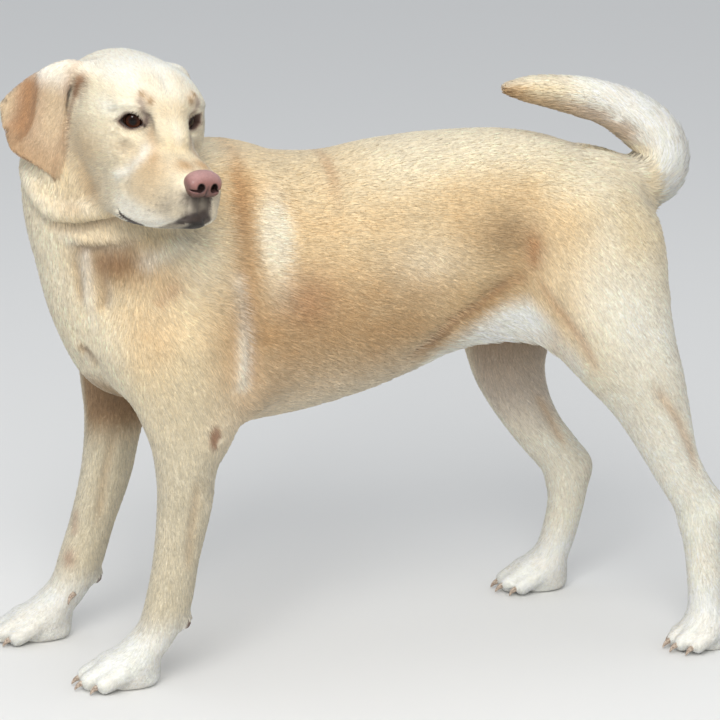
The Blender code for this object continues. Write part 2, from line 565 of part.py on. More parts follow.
def loose_pieces(ob, where):
    """Splits an object into its unconnected pieces; returns them with their mid points, the specks left out."""
    bm = bmesh.new()
    bm.from_mesh(ob.data)
    bm.verts.ensure_lookup_table()
    seen = set()
    out = []
    for v in bm.verts:
        if v.index in seen:
            continue
        stack, part = [v], []
        seen.add(v.index)
        while stack:
            w = stack.pop()
            part.append(w)
            for e in w.link_edges:
                o = e.other_vert(w)
                if o.index not in seen:
                    seen.add(o.index)
                    stack.append(o)
        if len(part) < 8:
            continue
        ids = {w.index: i for i, w in enumerate(part)}
        faces = []
        done = set()
        for w in part:
            for f in w.link_faces:
                if f.index not in done:
                    done.add(f.index)
                    faces.append([ids[q.index] for q in f.verts])
        pts = np.array([w.co[:] for w in part])
        out.append((pts, faces))
    bm.free()
    return out


def plate(name, at, normal, reach, where, thick=GAP, sides=24):
    """A thin cutter square to a direction: round for one reach, oblong (level, sloping) for two."""
    n = unit(np.array(normal, float))
    u = unit(np.cross((0.0, 0.0, 1.0) if abs(n[2]) < 0.99 else (0.0, 1.0, 0.0), n))
    v = np.cross(n, u)
    if np.isscalar(reach):
        ring = [(reach * cos(2 * pi * i / sides), reach * sin(2 * pi * i / sides)) for i in range(sides)]
    else:
        ring = [(reach[0], reach[1]), (-reach[0], reach[1]), (-reach[0], -reach[1]), (reach[0], -reach[1])]
    k = len(ring)
    verts = [np.array(at) + u * x + v * y + n * z for z in (-thick / 2, thick / 2) for x, y in ring]
    faces = [tuple(range(k))[::-1], tuple(range(k, 2 * k))] + [(i, (i + 1) % k, k + (i + 1) % k, k + i) for i in range(k)]
    ob = put(name, verts, faces, where)
    outward(ob)
    ob.hide_render = True
    ob.display_type = 'WIRE'
    return ob


def part_off(ob, at, normal, reach, where, wires):
    """Cuts a piece in two; returns (piece on the side the direction points to, the other)."""
    n = np.array(Vector(normal).normalized())
    cutter = plate('cut_' + ob.name, at, normal, reach, wires)
    radius = float(np.max(reach))
    boolean(ob, cutter)
    tidy(ob)
    pieces = loose_pieces(ob, where)
    if len(pieces) != 2:
        raise RuntimeError(f'{ob.name}: {len(pieces)} pieces, sizes {[len(p[0]) for p in pieces]}')
    name = ob.name
    bpy.data.objects.remove(ob, do_unlink=True)
    def lean(p):
        d = np.abs((p[0] - np.array(at)) @ n)
        r = np.linalg.norm(p[0] - np.array(at), axis=1)
        near = r < radius
        return ((p[0][near] - np.array(at)) @ n).mean()
    pieces.sort(key=lean, reverse=True)
    return [put(name + '_' + str(i), *p, where) for i, p in enumerate(pieces)]


def grown(ob, by, name, wires):
    """A copy of a piece swollen by a small amount, to cut its seat with."""
    me = ob.data.copy()
    bm = bmesh.new()
    bm.from_mesh(me)
    bm.normal_update()
    moves = []
    for v in bm.verts:
        # far enough along the point's normal that every face round it moves by the whole amount
        k = min([max(v.normal.dot(f.normal), 0.35) for f in v.link_faces] or [1.0])
        moves.append(v.normal * (by / k))
    for v, m in zip(bm.verts, moves):
        v.co += m
    bm.to_mesh(me)
    bm.free()
    c = bpy.data.objects.new(name, me)
    wires.objects.link(c)
    c.hide_render = True
    c.display_type = 'WIRE'
    return c


def uv_ball(name, at, half, axes, where, seg=20, rings=11, n=2.0):
    verts, faces = [], []
    verts.append((0, 0, 1))
    for i in range(1, rings):
        a = pi * i / rings
        for j in range(seg):
            b = 2 * pi * j / seg
            verts.append((sin(a) * cos(b), sin(a) * sin(b), cos(a)))
    verts.append((0, 0, -1))
    v = np.array(verts)
    if n != 2.0:
        v = v / ((np.abs(v) ** n).sum(1) ** (1 / n))[:, None]
    v = (v * np.asarray(half, float)) @ np.asarray(axes, float).T + np.asarray(at, float)
    for j in range(seg):
        k = (j + 1) % seg
        faces.append((0, 1 + j, 1 + k))
        for i in range(rings - 2):
            a, b = 1 + i * seg, 1 + (i + 1) * seg
            faces.append((a + j, b + j, b + k))
            faces.append((a + j, b + k, a + k))
        a = 1 + (rings - 2) * seg
        faces.append((a + j, len(verts) - 1, a + k))
    ob = put(name, v, faces, where)
    outward(ob)
    return ob


def claw(name, root, tip, up, r0, where):
    """A claw: a tapered, downward bent horn of five sides."""
    root, tip, up = np.array(root), np.array(tip), unit(np.array(up, float))
    d = unit(tip - root)
    side = unit(np.cross(up, d))
    up = np.cross(d, side)
    length = np.linalg.norm(tip - root)
    rows = [(-0.06, 0.90, 0.0), (0.32, 0.92, 0.05), (0.70, 0.58, 0.02), (0.95, 0.20, -0.08)]
    verts, faces = [], []
    for s, r, bow in rows:
        c = root + d * (s * length) + up * (bow * length)
        for j in range(5):
            a = 2 * pi * (j + 0.25) / 5
            verts.append(c + side * (cos(a) * r0 * r * 0.85) + up * (sin(a) * r0 * r * 1.15))
    n = len(verts)
    verts.append(root - d * (0.12 * length))
    verts.append(tip - up * (0.12 * length))
    for i in range(len(rows) - 1):
        for j in range(5):
            k = (j + 1) % 5
            a, b = i * 5, (i + 1) * 5
            faces.append((a + j, b + j, b + k))
            faces.append((a + j, b + k, a + k))
    for j in range(5):
        k = (j + 1) % 5
        faces.append((j, k, n))
        faces.append((n - 5 + k, n - 5 + j, n + 1))
    ob = put(name, verts, faces, where)
    outward(ob)
    return ob


def build():
    clear_scene()
    scene = bpy.context.scene
    where = bpy.data.collections.new(NAME)
    wires = bpy.data.collections.new('cutters')
    scene.collection.children.link(where)
    scene.collection.children.link(wires)
    wires.hide_render = True

    groups = dog()
    bodies = [g for g in groups if not g.name.startswith('ear_')]
    field = lambda p, near=0.02: whole(bodies, p, near, floor=False)
    X = axis(-0.45, 0.42, [0.0055, (0.13, 0.36, 0.0032)])
    Y = axis(-0.17, 0.24, [0.0055, (0.02, 0.24, 0.0032)])
    Z = axis(-0.02, 0.70, [0.0055, (-0.02, 0.03, 0.0040), (0.52, 0.69, 0.0032)])
    pts, quads, _ = surface(field, X, Y, Z)
    flesh = put('flesh', pts, quads, where)
    outward(flesh)
    thin_out(flesh, FLESH_TRIS)

    # flat soles on the floor
    bm = bmesh.new()
    bmesh.ops.create_cube(bm, size=1.0, matrix=Matrix.Translation((0, 0, -0.5)) @ Matrix.Scale(2.0, 4, (1, 0, 0)))
    me = bpy.data.meshes.new('floor_cut')
    bm.to_mesh(me)
    bm.free()
    floor = bpy.data.objects.new('floor_cut', me)
    wires.objects.link(floor)
    floor.hide_render = True
    floor.display_type = 'WIRE'
    boolean(flesh, floor)
    tidy(flesh)

    made = {}
    at, h = np.array(HEAD_AT), turn(*HEAD_TURN)
    inhead = lambda q: at + h @ np.asarray(q, float)

    # eyes, nose
    for side, m in (('left', 1), ('right', -1)):
        made['eye_' + side] = uv_ball('eye_' + side, inhead(np.array(EYE_AT) * (1, m, 1)), (EYE_RADIUS,) * 3, h, where, 14, 8)
        socket = grown(made['eye_' + side], CLEAR, 'socket_' + side, wires)
        boolean(flesh, socket)
    made['nose'] = uv_ball('nose', inhead(NOSE_AT), NOSE_HALF, h, where, 16, 9, 2.5)
    boolean(flesh, grown(made['nose'], CLEAR, 'nose_seat', wires))
    tidy(flesh)

    # claws
    for name, (x, y, yaw, s) in PAWS.items():
        side = 1.0 if name.endswith('left') else -1.0
        axes = turn(yaw)
        for i, (kn, tp, r0, r1) in enumerate(TOES):
            t0 = np.array((tp[0] * s, tp[1] * side * s, tp[2]))
            k0 = np.array((kn[0] * s, kn[1] * side * s, kn[2]))
            d = unit((t0 - k0) * (1, 1, 0.0) + (0, 0, -0.004))
            root = t0 + d * (r1 * s * 0.72) + (0, 0, -0.0005)
            tip = root + d * CLAW_LENGTH * 0.85 + (0, 0, -0.0042)
            base = np.array((x, y, 0.0))
            n = f'claw_{name}_{i + 1}'
            made[n] = claw(n, base + axes @ root, base + axes @ tip, (0, 0, 1), CLAW_ROOT, where)
            boolean(flesh, grown(made[n], CLEAR, 'seat_' + n, wires))
    for name, (root, tip) in DEWCLAWS.items():
        n = f'claw_{name}_dew'
        made[n] = claw(n, root, tip, (1, 0, 0.6), 0.0026, where)
        boolean(flesh, grown(made[n], CLEAR, 'seat_' + n, wires))
    tidy(flesh)

    # parting of the body
    cuts = [
        ('hind_left', (-0.238, 0.070, 0.416), (-0.38, 0.80, -0.46), 0.160),
        ('hind_right', (-0.216, -0.069, 0.415), (-0.30, -0.80, -0.46), 0.170),
        ('fore_left', (0.212, 0.094, 0.328), (0.30, 0.80, -0.58), 0.088),
        ('fore_right', (0.235, -0.095, 0.324), (0.35, -0.80, -0.58), 0.076),
        ('tail', (-0.312, 0.0, 0.507), (-0.773, 0.0, 0.634), 0.050),
        ('neck_head', (0.232, 0.0, 0.480), (0.695, 0.0, 0.719), (0.106, 0.135))]
    rest = flesh
    got = {}
    for name, c, n, r in cuts:
        rest.name = name
        a, b = part_off(rest, c, n, r, where, wires)
        got[name], rest = a, b
    got['trunk'] = rest
    def cut(key, far, near, c, n, r):
        ob = got.pop(key)
        ob.name = key
        a, b = part_off(ob, c, n, r, where, wires)
        got[far], got[near] = a, b
    cut('neck_head', 'head', 'neck', (0.259, 0.018, 0.567), (-0.10, 0.60, 0.79), 0.128)
    cut('tail', 'tail_far', 'tail_base', (-0.300, 0.0, 0.578), (0.83, 0.0, 0.55), 0.040)
    cut('tail_far', 'tail_tip', 'tail_mid', (-0.228, 0.0, 0.604), (0.98, 0.0, 0.18), 0.032)
    cut('fore_left', 'fore_left_paw', 'fore_left_forearm', (0.222, 0.073, 0.088), (0.25, -0.15, -0.95), 0.045)
    cut('fore_right', 'fore_right_paw', 'fore_right_forearm', (0.289, -0.088, 0.083), (0.38, 0.0, -0.92), 0.045)
    cut('hind_left', 'hind_left_low', 'hind_left_thigh', (-0.302, 0.100, 0.285), (-0.42, 0.0, -0.91), 0.075)
    cut('hind_left_low', 'hind_left_paw', 'hind_left_shank', (-0.368, 0.095, 0.118), (-0.10, 0.0, -0.99), 0.045)
    cut('hind_right', 'hind_right_low', 'hind_right_thigh', (-0.205, -0.100, 0.285), (-0.12, 0.0, -0.99), 0.075)
    cut('hind_right_low', 'hind_right_paw', 'hind_right_shank', (-0.278, -0.104, 0.112), (-0.05, 0.0, -0.99), 0.045)

    # ears, each its own flap cut clear of the head and neck
    for side in ('left', 'right'):
        g = [g for g in groups if g.name == 'ear_' + side]
        lo, hi = g[0].box()
        lo, hi = lo - 0.012, hi + 0.012
        step = [0.0025]
        pts, quads, _ = surface(lambda p, near=0.02: whole(g, p, near, floor=False), axis(lo[0], hi[0], step), axis(lo[1], hi[1], step), axis(lo[2], hi[2], step))
        ear = put('ear_' + side, pts, quads, where)
        outward(ear)
        thin_out(ear, EAR_TRIS)
        for k in ('head', 'neck'):
            boolean(ear, grown(got[k], CLEAR, f'{k}_off_ear_{side}', wires))
        tidy(ear)
        pieces = sorted(loose_pieces(ear, where), key=lambda p: -len(p[0]))
        bpy.data.objects.remove(ear, do_unlink=True)
        made['ear_' + side] = put('ear_' + side, *pieces[0], where)

    made.update(got)
    slots = {'eye': 'eye_gloss', 'nose': 'nose_leather', 'claw': 'claw_horn', 'ear': 'coat_tan'}
    total = 0
    lo, hi = np.full(3, 9.0), np.full(3, -9.0)
    for name, ob in sorted(made.items()):
        ob.name = name
        ob.data.name = name
        slot = slots.get(name.split('_')[0], 'coat_pale' if name.endswith('paw') or name == 'tail_base' else 'coat_cream')
        ob.data.materials.clear()
        ob.data.materials.append(material('mat_' + name, slot))
        for o in list(ob.users_collection):
            o.objects.unlink(ob)
        where.objects.link(ob)
        v = np.array([q.co[:] for q in ob.data.vertices]) + np.array(SHIFT)
        v[np.abs(v[:, 2]) < 2e-6, 2] = 0.0
        ob.data.vertices.foreach_set('co', v.ravel())
        ob.data.update()
        lo, hi = np.minimum(lo, v.min(0)), np.maximum(hi, v.max(0))
        n = sum(len(f.vertices) - 2 for f in ob.data.polygons)
        total += n
        print(name, n, np.round(v.min(0), 4), np.round(v.max(0), 4))
    print('triangles', total, 'box', lo, hi, 'middle', (lo + hi) / 2, 'pieces', len(made))


build()
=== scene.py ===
"""The looks of the Labrador: one skin under a coat of short tufts, eyes with lids, a leather nose and horn claws.

Metres, +X toward the dog's front, +Y toward its left, +Z up. The skin is the solids' own form, drawn in by the
depth of the coat and given the folds of the face. Every tuft is a thin closed leaf that lies along the body.
"""
import bpy
import json
import openvdb
import numpy as np
from concurrent.futures import ThreadPoolExecutor
from math import radians, cos, sin, sqrt, pi
from mathutils import Matrix, Vector

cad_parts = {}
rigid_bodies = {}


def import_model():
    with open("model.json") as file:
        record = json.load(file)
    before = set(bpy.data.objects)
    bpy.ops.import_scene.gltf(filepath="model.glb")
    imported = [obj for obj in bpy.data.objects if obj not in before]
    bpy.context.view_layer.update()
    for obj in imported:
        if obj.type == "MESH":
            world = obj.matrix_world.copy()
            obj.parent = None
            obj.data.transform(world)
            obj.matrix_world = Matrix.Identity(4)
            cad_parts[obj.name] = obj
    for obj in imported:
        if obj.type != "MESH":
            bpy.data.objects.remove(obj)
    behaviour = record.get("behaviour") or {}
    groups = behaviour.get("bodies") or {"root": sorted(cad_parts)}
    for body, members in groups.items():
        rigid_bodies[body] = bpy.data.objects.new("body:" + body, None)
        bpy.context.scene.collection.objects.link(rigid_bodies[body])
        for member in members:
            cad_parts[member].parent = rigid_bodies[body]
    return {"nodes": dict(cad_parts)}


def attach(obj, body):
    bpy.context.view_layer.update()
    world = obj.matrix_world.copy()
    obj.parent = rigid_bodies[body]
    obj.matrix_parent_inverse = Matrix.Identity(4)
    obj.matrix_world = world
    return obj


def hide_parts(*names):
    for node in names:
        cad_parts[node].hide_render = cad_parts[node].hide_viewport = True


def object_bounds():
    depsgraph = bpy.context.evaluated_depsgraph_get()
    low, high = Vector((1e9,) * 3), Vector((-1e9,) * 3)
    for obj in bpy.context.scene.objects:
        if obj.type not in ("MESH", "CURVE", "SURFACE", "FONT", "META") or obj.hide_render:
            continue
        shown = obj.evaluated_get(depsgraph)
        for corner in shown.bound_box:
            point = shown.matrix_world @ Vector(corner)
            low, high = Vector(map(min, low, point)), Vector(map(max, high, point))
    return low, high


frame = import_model()
CAD_BOX = [list(map(float, c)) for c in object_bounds()]

# ---------------------------------------------------------------- implicit forms
def smin(a, b, k):
    h = np.maximum(k - np.abs(a - b), 0.0) / k
    return np.minimum(a, b) - h * h * (k * 0.25)

def smax(a, b, k):
    return -smin(-a, -b, k)

def unit(v):
    v = np.asarray(v, float)
    return v / np.linalg.norm(v, axis=-1, keepdims=True)

def turn(yaw=0.0, pitch=0.0, roll=0.0):
    """Rotation matrix: columns are the turned X, Y and Z axes (degrees)."""
    y, p, r = radians(yaw), radians(pitch), radians(roll)
    rz = np.array([[cos(y), -sin(y), 0], [sin(y), cos(y), 0], [0, 0, 1]])
    ry = np.array([[cos(p), 0, sin(p)], [0, 1, 0], [-sin(p), 0, cos(p)]])
    rx = np.array([[1, 0, 0], [0, cos(r), -sin(r)], [0, sin(r), cos(r)]])
    return rz @ ry @ rx

def quotient(x, y, z, a, b, c, n):
    """Signed distance, near enough, to the super-ellipsoid of half-axes a, b, c."""
    if n == 2.0:
        k0 = np.sqrt((x / a) ** 2 + (y / b) ** 2 + (z / c) ** 2)
        k1 = np.sqrt((x / a ** 2) ** 2 + (y / b ** 2) ** 2 + (z / c ** 2) ** 2)
        return k0 * (k0 - 1.0) / np.maximum(k1, 1e-6)
    ax, ay, az = np.abs(x) + 1e-7, np.abs(y) + 1e-7, np.abs(z) + 1e-7
    k0 = ((ax / a) ** n + (ay / b) ** n + (az / c) ** n) ** (1.0 / n)
    g = k0 ** (1 - n) * np.sqrt((ax ** (n - 1) / a ** n) ** 2 + (ay ** (n - 1) / b ** n) ** 2 + (az ** (n - 1) / c ** n) ** 2)
    return (k0 - 1.0) / np.maximum(g, 1e-6)

class Form:
    """A shape with its box, the width over which it melts into what is there, and whether it adds or cuts."""
    def __init__(self, f, lo, hi, k, cut=False):
        self.f, self.lo, self.hi, self.k, self.cut = f, np.asarray(lo, float), np.asarray(hi, float), k, cut

def ball(c, r, k=0.01, axes=None, n=2.0, cut=False):
    c = np.asarray(c, float)
    r = np.full(3, r, float) if np.isscalar(r) else np.asarray(r, float)
    m = np.eye(3) if axes is None else np.asarray(axes, float)
    def f(p):
        q = (p - c) @ m
        return quotient(q[:, 0], q[:, 1], q[:, 2], r[0], r[1], r[2], n)
    e = np.sqrt(((m * r) ** 2).sum(1)) if n == 2.0 else np.abs(m) @ r
    return Form(f, c - e, c + e, k, cut)

def smooth_stations(rows, sub):
    rows = np.asarray(rows, float)
    if sub <= 1 or len(rows) < 3:
        return rows
    ext = np.vstack([2 * rows[0] - rows[1], rows, 2 * rows[-1] - rows[-2]])
    out = []
    for i in range(1, len(ext) - 2):
        p0, p1, p2, p3 = ext[i - 1:i + 3]
        for j in range(sub):
            t = j / sub
            out.append(0.5 * (2 * p1 + (p2 - p0) * t + (2 * p0 - 5 * p1 + 4 * p2 - p3) * t ** 2 + (3 * p1 - p0 - 3 * p2 + p3) * t ** 3))
    out.append(rows[-1])
    return np.array(out)

def limb(rows, hint, k=0.02, sub=5, n=2.0, cap=1.0, cut=False):
    """A form of changing section: each row is its centre x, y, z, its half-width, and its half-depths on the hint's side and on the far side."""
    rows = smooth_stations(rows, sub)
    c = rows[:, :3]
    t = unit(np.gradient(c, axis=0))
    h = rows[:, 6:9] if rows.shape[1] > 6 else np.broadcast_to(np.asarray(hint, float), t.shape)
    u = unit(np.cross(h, t))
    v = np.cross(t, u)
    a, bu, bd = rows[:, 3], rows[:, 4], rows[:, 5]
    ab = c[1:] - c[:-1]
    ll = (ab * ab).sum(1)
    soft = 0.9 / ll.mean()
    last = len(ab)
    def f(p):
        # the place on the axis beside the point, softly averaged, then the section there
        low = np.full(len(p), 1e3)
        total = np.zeros(len(p))
        at = np.zeros(len(p))
        for i in range(last):
            w0 = p - c[i]
            s = np.clip((w0 @ ab[i]) / ll[i], 0, 1)
            w = w0 - s[:, None] * ab[i]
            r = (w * w).sum(1)
            new = np.minimum(low, r)
            keep = np.exp((new - low) * soft)
            e = np.exp((new - r) * soft)
            total = total * keep + e
            at = at * keep + e * (i + s)
            low = new
        at = at / total
        i = np.minimum(at.astype(int), last - 1)
        s = at - i
        s1 = s[:, None]
        w = p - (c[i] + ab[i] * s1)
        x = ((u[i] + (u[i + 1] - u[i]) * s1) * w).sum(1)
        y = ((v[i] + (v[i + 1] - v[i]) * s1) * w).sum(1)
        z = np.maximum(np.where(at < last * 0.5, (c[0] - p) @ t[0], (p - c[-1]) @ t[-1]), 0.0)
        aa = a[i] + (a[i + 1] - a[i]) * s
        bb = np.where(y > 0, bu[i] + (bu[i + 1] - bu[i]) * s, bd[i] + (bd[i + 1] - bd[i]) * s)
        return quotient(x, y, z, aa, bb, np.minimum(aa, bb) * cap, n)
    m = np.maximum(np.maximum(a, bu), bd)[:, None]
    return Form(f, (c - m).min(0), (c + m).max(0), k, cut)

def cone(p0, p1, r0, r1, k=0.01, cut=False):
    return limb([[*p0, r0, r0, r0], [*p1, r1, r1, r1]], (0.31, 0.52, 0.79), k, 1, cut=cut)

def outline_distance(x, y, ring):
    """Signed distance in the plane from a closed outline."""
    d = np.full(len(x), 1e3)
    odd = np.zeros(len(x), bool)
    for (x0, y0), (x1, y1) in zip(ring, np.roll(ring, -1, axis=0)):
        ex, ey = x1 - x0, y1 - y0
        wx, wy = x - x0, y - y0
        s = np.clip((wx * ex + wy * ey) / (ex * ex + ey * ey), 0, 1)
        d = np.minimum(d, (wx - ex * s) ** 2 + (wy - ey * s) ** 2)
        if y0 != y1:
            odd ^= ((y0 > y) != (y1 > y)) & (x < x0 + ex * (y - y0) / ey)
    return np.where(odd, -1.0, 1.0) * np.sqrt(d)

def rounded(ring, sub):
    """A closed outline through the given points, smoothed."""
    ring = np.asarray(ring, float)
    out = []
    for i in range(len(ring)):
        p0, p1, p2, p3 = (ring[(i + j) % len(ring)] for j in (-1, 0, 1, 2))
        for j in range(sub):
            t = j / sub
            out.append(0.5 * (2 * p1 + (p2 - p0) * t + (2 * p0 - 5 * p1 + 4 * p2 - p3) * t ** 2 + (3 * p1 - p0 - 3 * p2 + p3) * t ** 3))
    return np.array(out)

def sheet(at, axes, ring, thick, bend, k=0.01, sub=3):
    """A bent flap: outline in its own plane (columns 0, 1 of axes), half-thickness, and a function of the plane giving its rise along column 2."""
    at, axes = np.asarray(at, float), np.asarray(axes, float)
    ring = rounded(ring, sub)
    def f(p):
        q = (p - at) @ axes
        rise, lean = bend(q[:, 0], q[:, 1])
        n = (q[:, 2] - rise) / lean
        return np.hypot(np.maximum(outline_distance(q[:, 0], q[:, 1], ring) + thick, 0.0), n) - thick
    top = np.concatenate([np.c_[ring, np.full(len(ring), z)] for z in (-0.03, 0.03)]) @ axes.T + at
    return Form(f, top.min(0), top.max(0), k)

class Group:
    """Forms melted together in their own frame, then into the whole."""
    def __init__(self, forms, k, place=(0, 0, 0), axes=None, name=''):
        self.forms, self.k, self.name = forms, k, name
        self.place = np.asarray(place, float)
        self.axes = None if axes is None else np.asarray(axes, float)
    def local(self, p):
        q = p - self.place
        return q if self.axes is None else q @ self.axes
    def box(self):
        lo = np.min([f.lo for f in self.forms if not f.cut], 0)
        hi = np.max([f.hi for f in self.forms if not f.cut], 0)
        if self.axes is not None:
            corners = np.array([[x, y, z] for x in (lo[0], hi[0]) for y in (lo[1], hi[1]) for z in (lo[2], hi[2])])
            corners = corners @ self.axes.T
            lo, hi = corners.min(0), corners.max(0)
        return lo + self.place, hi + self.place
    def distance(self, p, near):
        q = self.local(p)
        d = np.full(len(p), 1.0)
        for form in self.forms:
            m = near + form.k
            inside = np.nonzero(np.all((q > form.lo - m) & (q < form.hi + m), axis=1))[0]
            if len(inside) == 0:
                continue
            e = form.f(q[inside])
            d[inside] = smax(d[inside], -e, form.k) if form.cut else smin(d[inside], e, form.k)
        return d

def whole(groups, p, near=0.02, floor=True):
    """Distance of points from the surface of all groups; right only within 'near' of the surface."""
    d = np.full(len(p), 1.0)
    for g in groups:
        lo, hi = g.box()
        m = near + g.k + max(f.k for f in g.forms)
        inside = np.nonzero(np.all((p > lo - m) & (p < hi + m), axis=1))[0]
        if len(inside):
            d[inside] = smin(d[inside], g.distance(p[inside], near), g.k)
    if floor:
        d = np.maximum(d, -p[:, 2])
    return d


def axis(lo, hi, spans):
    """Grid lines from lo to hi; spans lists (from, to, step), the step outside them is the first entry's."""
    base = spans[0]
    xs = [lo]
    while xs[-1] < hi:
        x = xs[-1]
        h = base
        for a, b, s in spans[1:]:
            if a <= x < b:
                h = min(h, s)
            elif x < a:
                h = min(h, s + (a - x) * 0.25)
            else:
                h = min(h, s + (x - b) * 0.25)
        xs.append(x + h)
    return np.array(xs)

def surface(field, X, Y, Z, coarse=4, reach=1.2, newton=2):
    """Closed mesh (points, quads) of the zero set of field(points, near) on the grid of lines X, Y, Z."""
    def pad(a):
        n = (-(len(a) - 1)) % coarse
        return np.concatenate([a, a[-1] + (a[-1] - a[-2]) * np.arange(1, n + 1)]) if n else a
    X, Y, Z = pad(X), pad(Y), pad(Z)
    cx, cy, cz = X[::coarse], Y[::coarse], Z[::coarse]
    span = max(np.diff(cx).max(), np.diff(cy).max(), np.diff(cz).max())
    P = np.stack(np.meshgrid(cx, cy, cz, indexing='ij'), -1).reshape(-1, 3)
    near = span * 2.0
    d = field(P, near).reshape(len(cx), len(cy), len(cz))
    diag = np.sqrt(np.diff(cx)[:, None, None] ** 2 + np.diff(cy)[None, :, None] ** 2 + np.diff(cz)[None, None, :] ** 2)
    c = np.stack([d[i:i + d.shape[0] - 1, j:j + d.shape[1] - 1, k:k + d.shape[2] - 1] for i in (0, 1) for j in (0, 1) for k in (0, 1)])
    live = (np.abs(c).min(0) < diag * reach) | ((c.min(0) < 0) & (c.max(0) > 0))
    full = np.repeat(np.repeat(np.repeat(c[0], coarse, 0), coarse, 1), coarse, 2)
    mask = np.repeat(np.repeat(np.repeat(live, coarse, 0), coarse, 1), coarse, 2)
    full = np.pad(full, ((0, 1),) * 3, constant_values=1.0)
    mask = np.pad(mask, ((0, 1),) * 3)
    m2 = mask.copy()
    m2[1:] |= mask[:-1]; m3 = m2.copy(); m3[:, 1:] |= m2[:, :-1]; m4 = m3.copy(); m4[:, :, 1:] |= m3[:, :, :-1]
    idx = np.argwhere(m4)
    vals = np.empty(len(idx))
    step = 400000
    hmax = max(np.diff(X).max(), np.diff(Y).max(), np.diff(Z).max())
    for a in range(0, len(idx), step):
        i = idx[a:a + step]
        vals[a:a + step] = field(np.stack([X[i[:, 0]], Y[i[:, 1]], Z[i[:, 2]]], -1), near)
    full[m4] = vals
    full = np.clip(full, -0.05, 0.05).astype(np.float32)
    grid = openvdb.FloatGrid(0.05)
    grid.copyFromArray(full)
    points, quads = grid.convertToQuads(0.0)
    pts = np.stack([np.interp(points[:, 0], np.arange(len(X)), X), np.interp(points[:, 1], np.arange(len(Y)), Y), np.interp(points[:, 2], np.arange(len(Z)), Z)], -1)
    for _ in range(newton):
        dv, g = slope(field, pts, near)
        s = dv / np.maximum((g * g).sum(1), 0.25)
        pts = pts - np.clip(s, -hmax, hmax)[:, None] * g * 0.9
    return pts, np.asarray(quads), (len(idx), full.size)

def slope(field, p, near=0.02, e=0.0004):
    """Value and gradient of the field at points."""
    d = field(p, near)
    g = np.empty((len(p), 3))
    for k in range(3):
        q = p.copy(); q[:, k] += e
        r = p.copy(); r[:, k] -= e
        g[:, k] = (field(q, near) - field(r, near)) / (2 * e)
    return d, g


# ---------------------------------------------------------------- the animal's measures (m; +X its front, +Y its left, +Z up)
HEAD_AT, HEAD_TURN = (0.230, 0.110, 0.617), (106.0, 8.5, -6.5)

def mirror(rows, dx=0.0):
    return [[r[0] + dx, -r[1], *r[2:]] for r in rows]

TRUNK = [  # x, y, z, half-width, up, down
    (0.250, 0.0, 0.392, 0.066, 0.088, 0.088),
    (0.215, 0.0, 0.405, 0.086, 0.118, 0.120),
    (0.150, 0.0, 0.420, 0.104, 0.146, 0.153),
    (0.085, 0.0, 0.420, 0.114, 0.136, 0.145),
    (0.020, 0.0, 0.425, 0.119, 0.129, 0.131),
    (-0.045, 0.0, 0.437, 0.115, 0.128, 0.117),
    (-0.100, 0.0, 0.450, 0.104, 0.121, 0.105),
    (-0.150, 0.0, 0.460, 0.096, 0.110, 0.101),
    (-0.200, 0.0, 0.462, 0.092, 0.100, 0.100),
    (-0.240, 0.0, 0.460, 0.078, 0.086, 0.090)]
NECK = [  # x, y, z, half-width, front, back
    (0.190, 0.000, 0.400, 0.088, 0.106, 0.100),
    (0.222, 0.000, 0.455, 0.080, 0.113, 0.115),
    (0.250, 0.002, 0.515, 0.071, 0.104, 0.100),
    (0.264, 0.008, 0.570, 0.064, 0.088, 0.075),
    (0.262, 0.020, 0.615, 0.055, 0.055, 0.055)]
FORE_L = [
    (0.215, 0.082, 0.370, 0.044, 0.060, 0.062),
    (0.206, 0.092, 0.320, 0.038, 0.050, 0.052),
    (0.202, 0.094, 0.280, 0.031, 0.040, 0.041),
    (0.203, 0.090, 0.240, 0.0275, 0.0315, 0.0315),
    (0.204, 0.087, 0.205, 0.0250, 0.0290, 0.0290),
    (0.212, 0.080, 0.144, 0.0225, 0.0245, 0.0245),
    (0.220, 0.074, 0.095, 0.0240, 0.0240, 0.0250),
    (0.232, 0.068, 0.060, 0.0225, 0.0210, 0.0210),
    (0.248, 0.062, 0.036, 0.0235, 0.0210, 0.0200)]
FORE_R = [
    (0.228, -0.082, 0.370, 0.044, 0.058, 0.062),
    (0.236, -0.090, 0.320, 0.038, 0.050, 0.050),
    (0.242, -0.092, 0.280, 0.031, 0.040, 0.041),
    (0.247, -0.091, 0.246, 0.0275, 0.0320, 0.0320),
    (0.256, -0.090, 0.190, 0.0250, 0.0280, 0.0280),
    (0.273, -0.088, 0.133, 0.0225, 0.0245, 0.0245),
    (0.287, -0.088, 0.090, 0.0240, 0.0240, 0.0250),
    (0.301, -0.090, 0.058, 0.0225, 0.0210, 0.0210),
    (0.318, -0.094, 0.036, 0.0235, 0.0210, 0.0200)]
HIND_L = [
    (-0.215, 0.058, 0.470, 0.052, 0.070, 0.072),
    (-0.235, 0.074, 0.420, 0.054, 0.075, 0.084),
    (-0.255, 0.086, 0.375, 0.050, 0.066, 0.075),
    (-0.275, 0.095, 0.338, 0.043, 0.057, 0.057),
    (-0.293, 0.100, 0.305, 0.036, 0.047, 0.045),
    (-0.310, 0.100, 0.268, 0.030, 0.038, 0.036),
    (-0.333, 0.098, 0.212, 0.0240, 0.0270, 0.0275),
    (-0.355, 0.096, 0.170, 0.0210, 0.0230, 0.0280),
    (-0.363, 0.095, 0.145, 0.0215, 0.0225, 0.0270),
    (-0.370, 0.095, 0.112, 0.0195, 0.0205, 0.0210),
    (-0.375, 0.096, 0.060, 0.0190, 0.0195, 0.0200),
    (-0.376, 0.098, 0.034, 0.0215, 0.0200, 0.0190)]
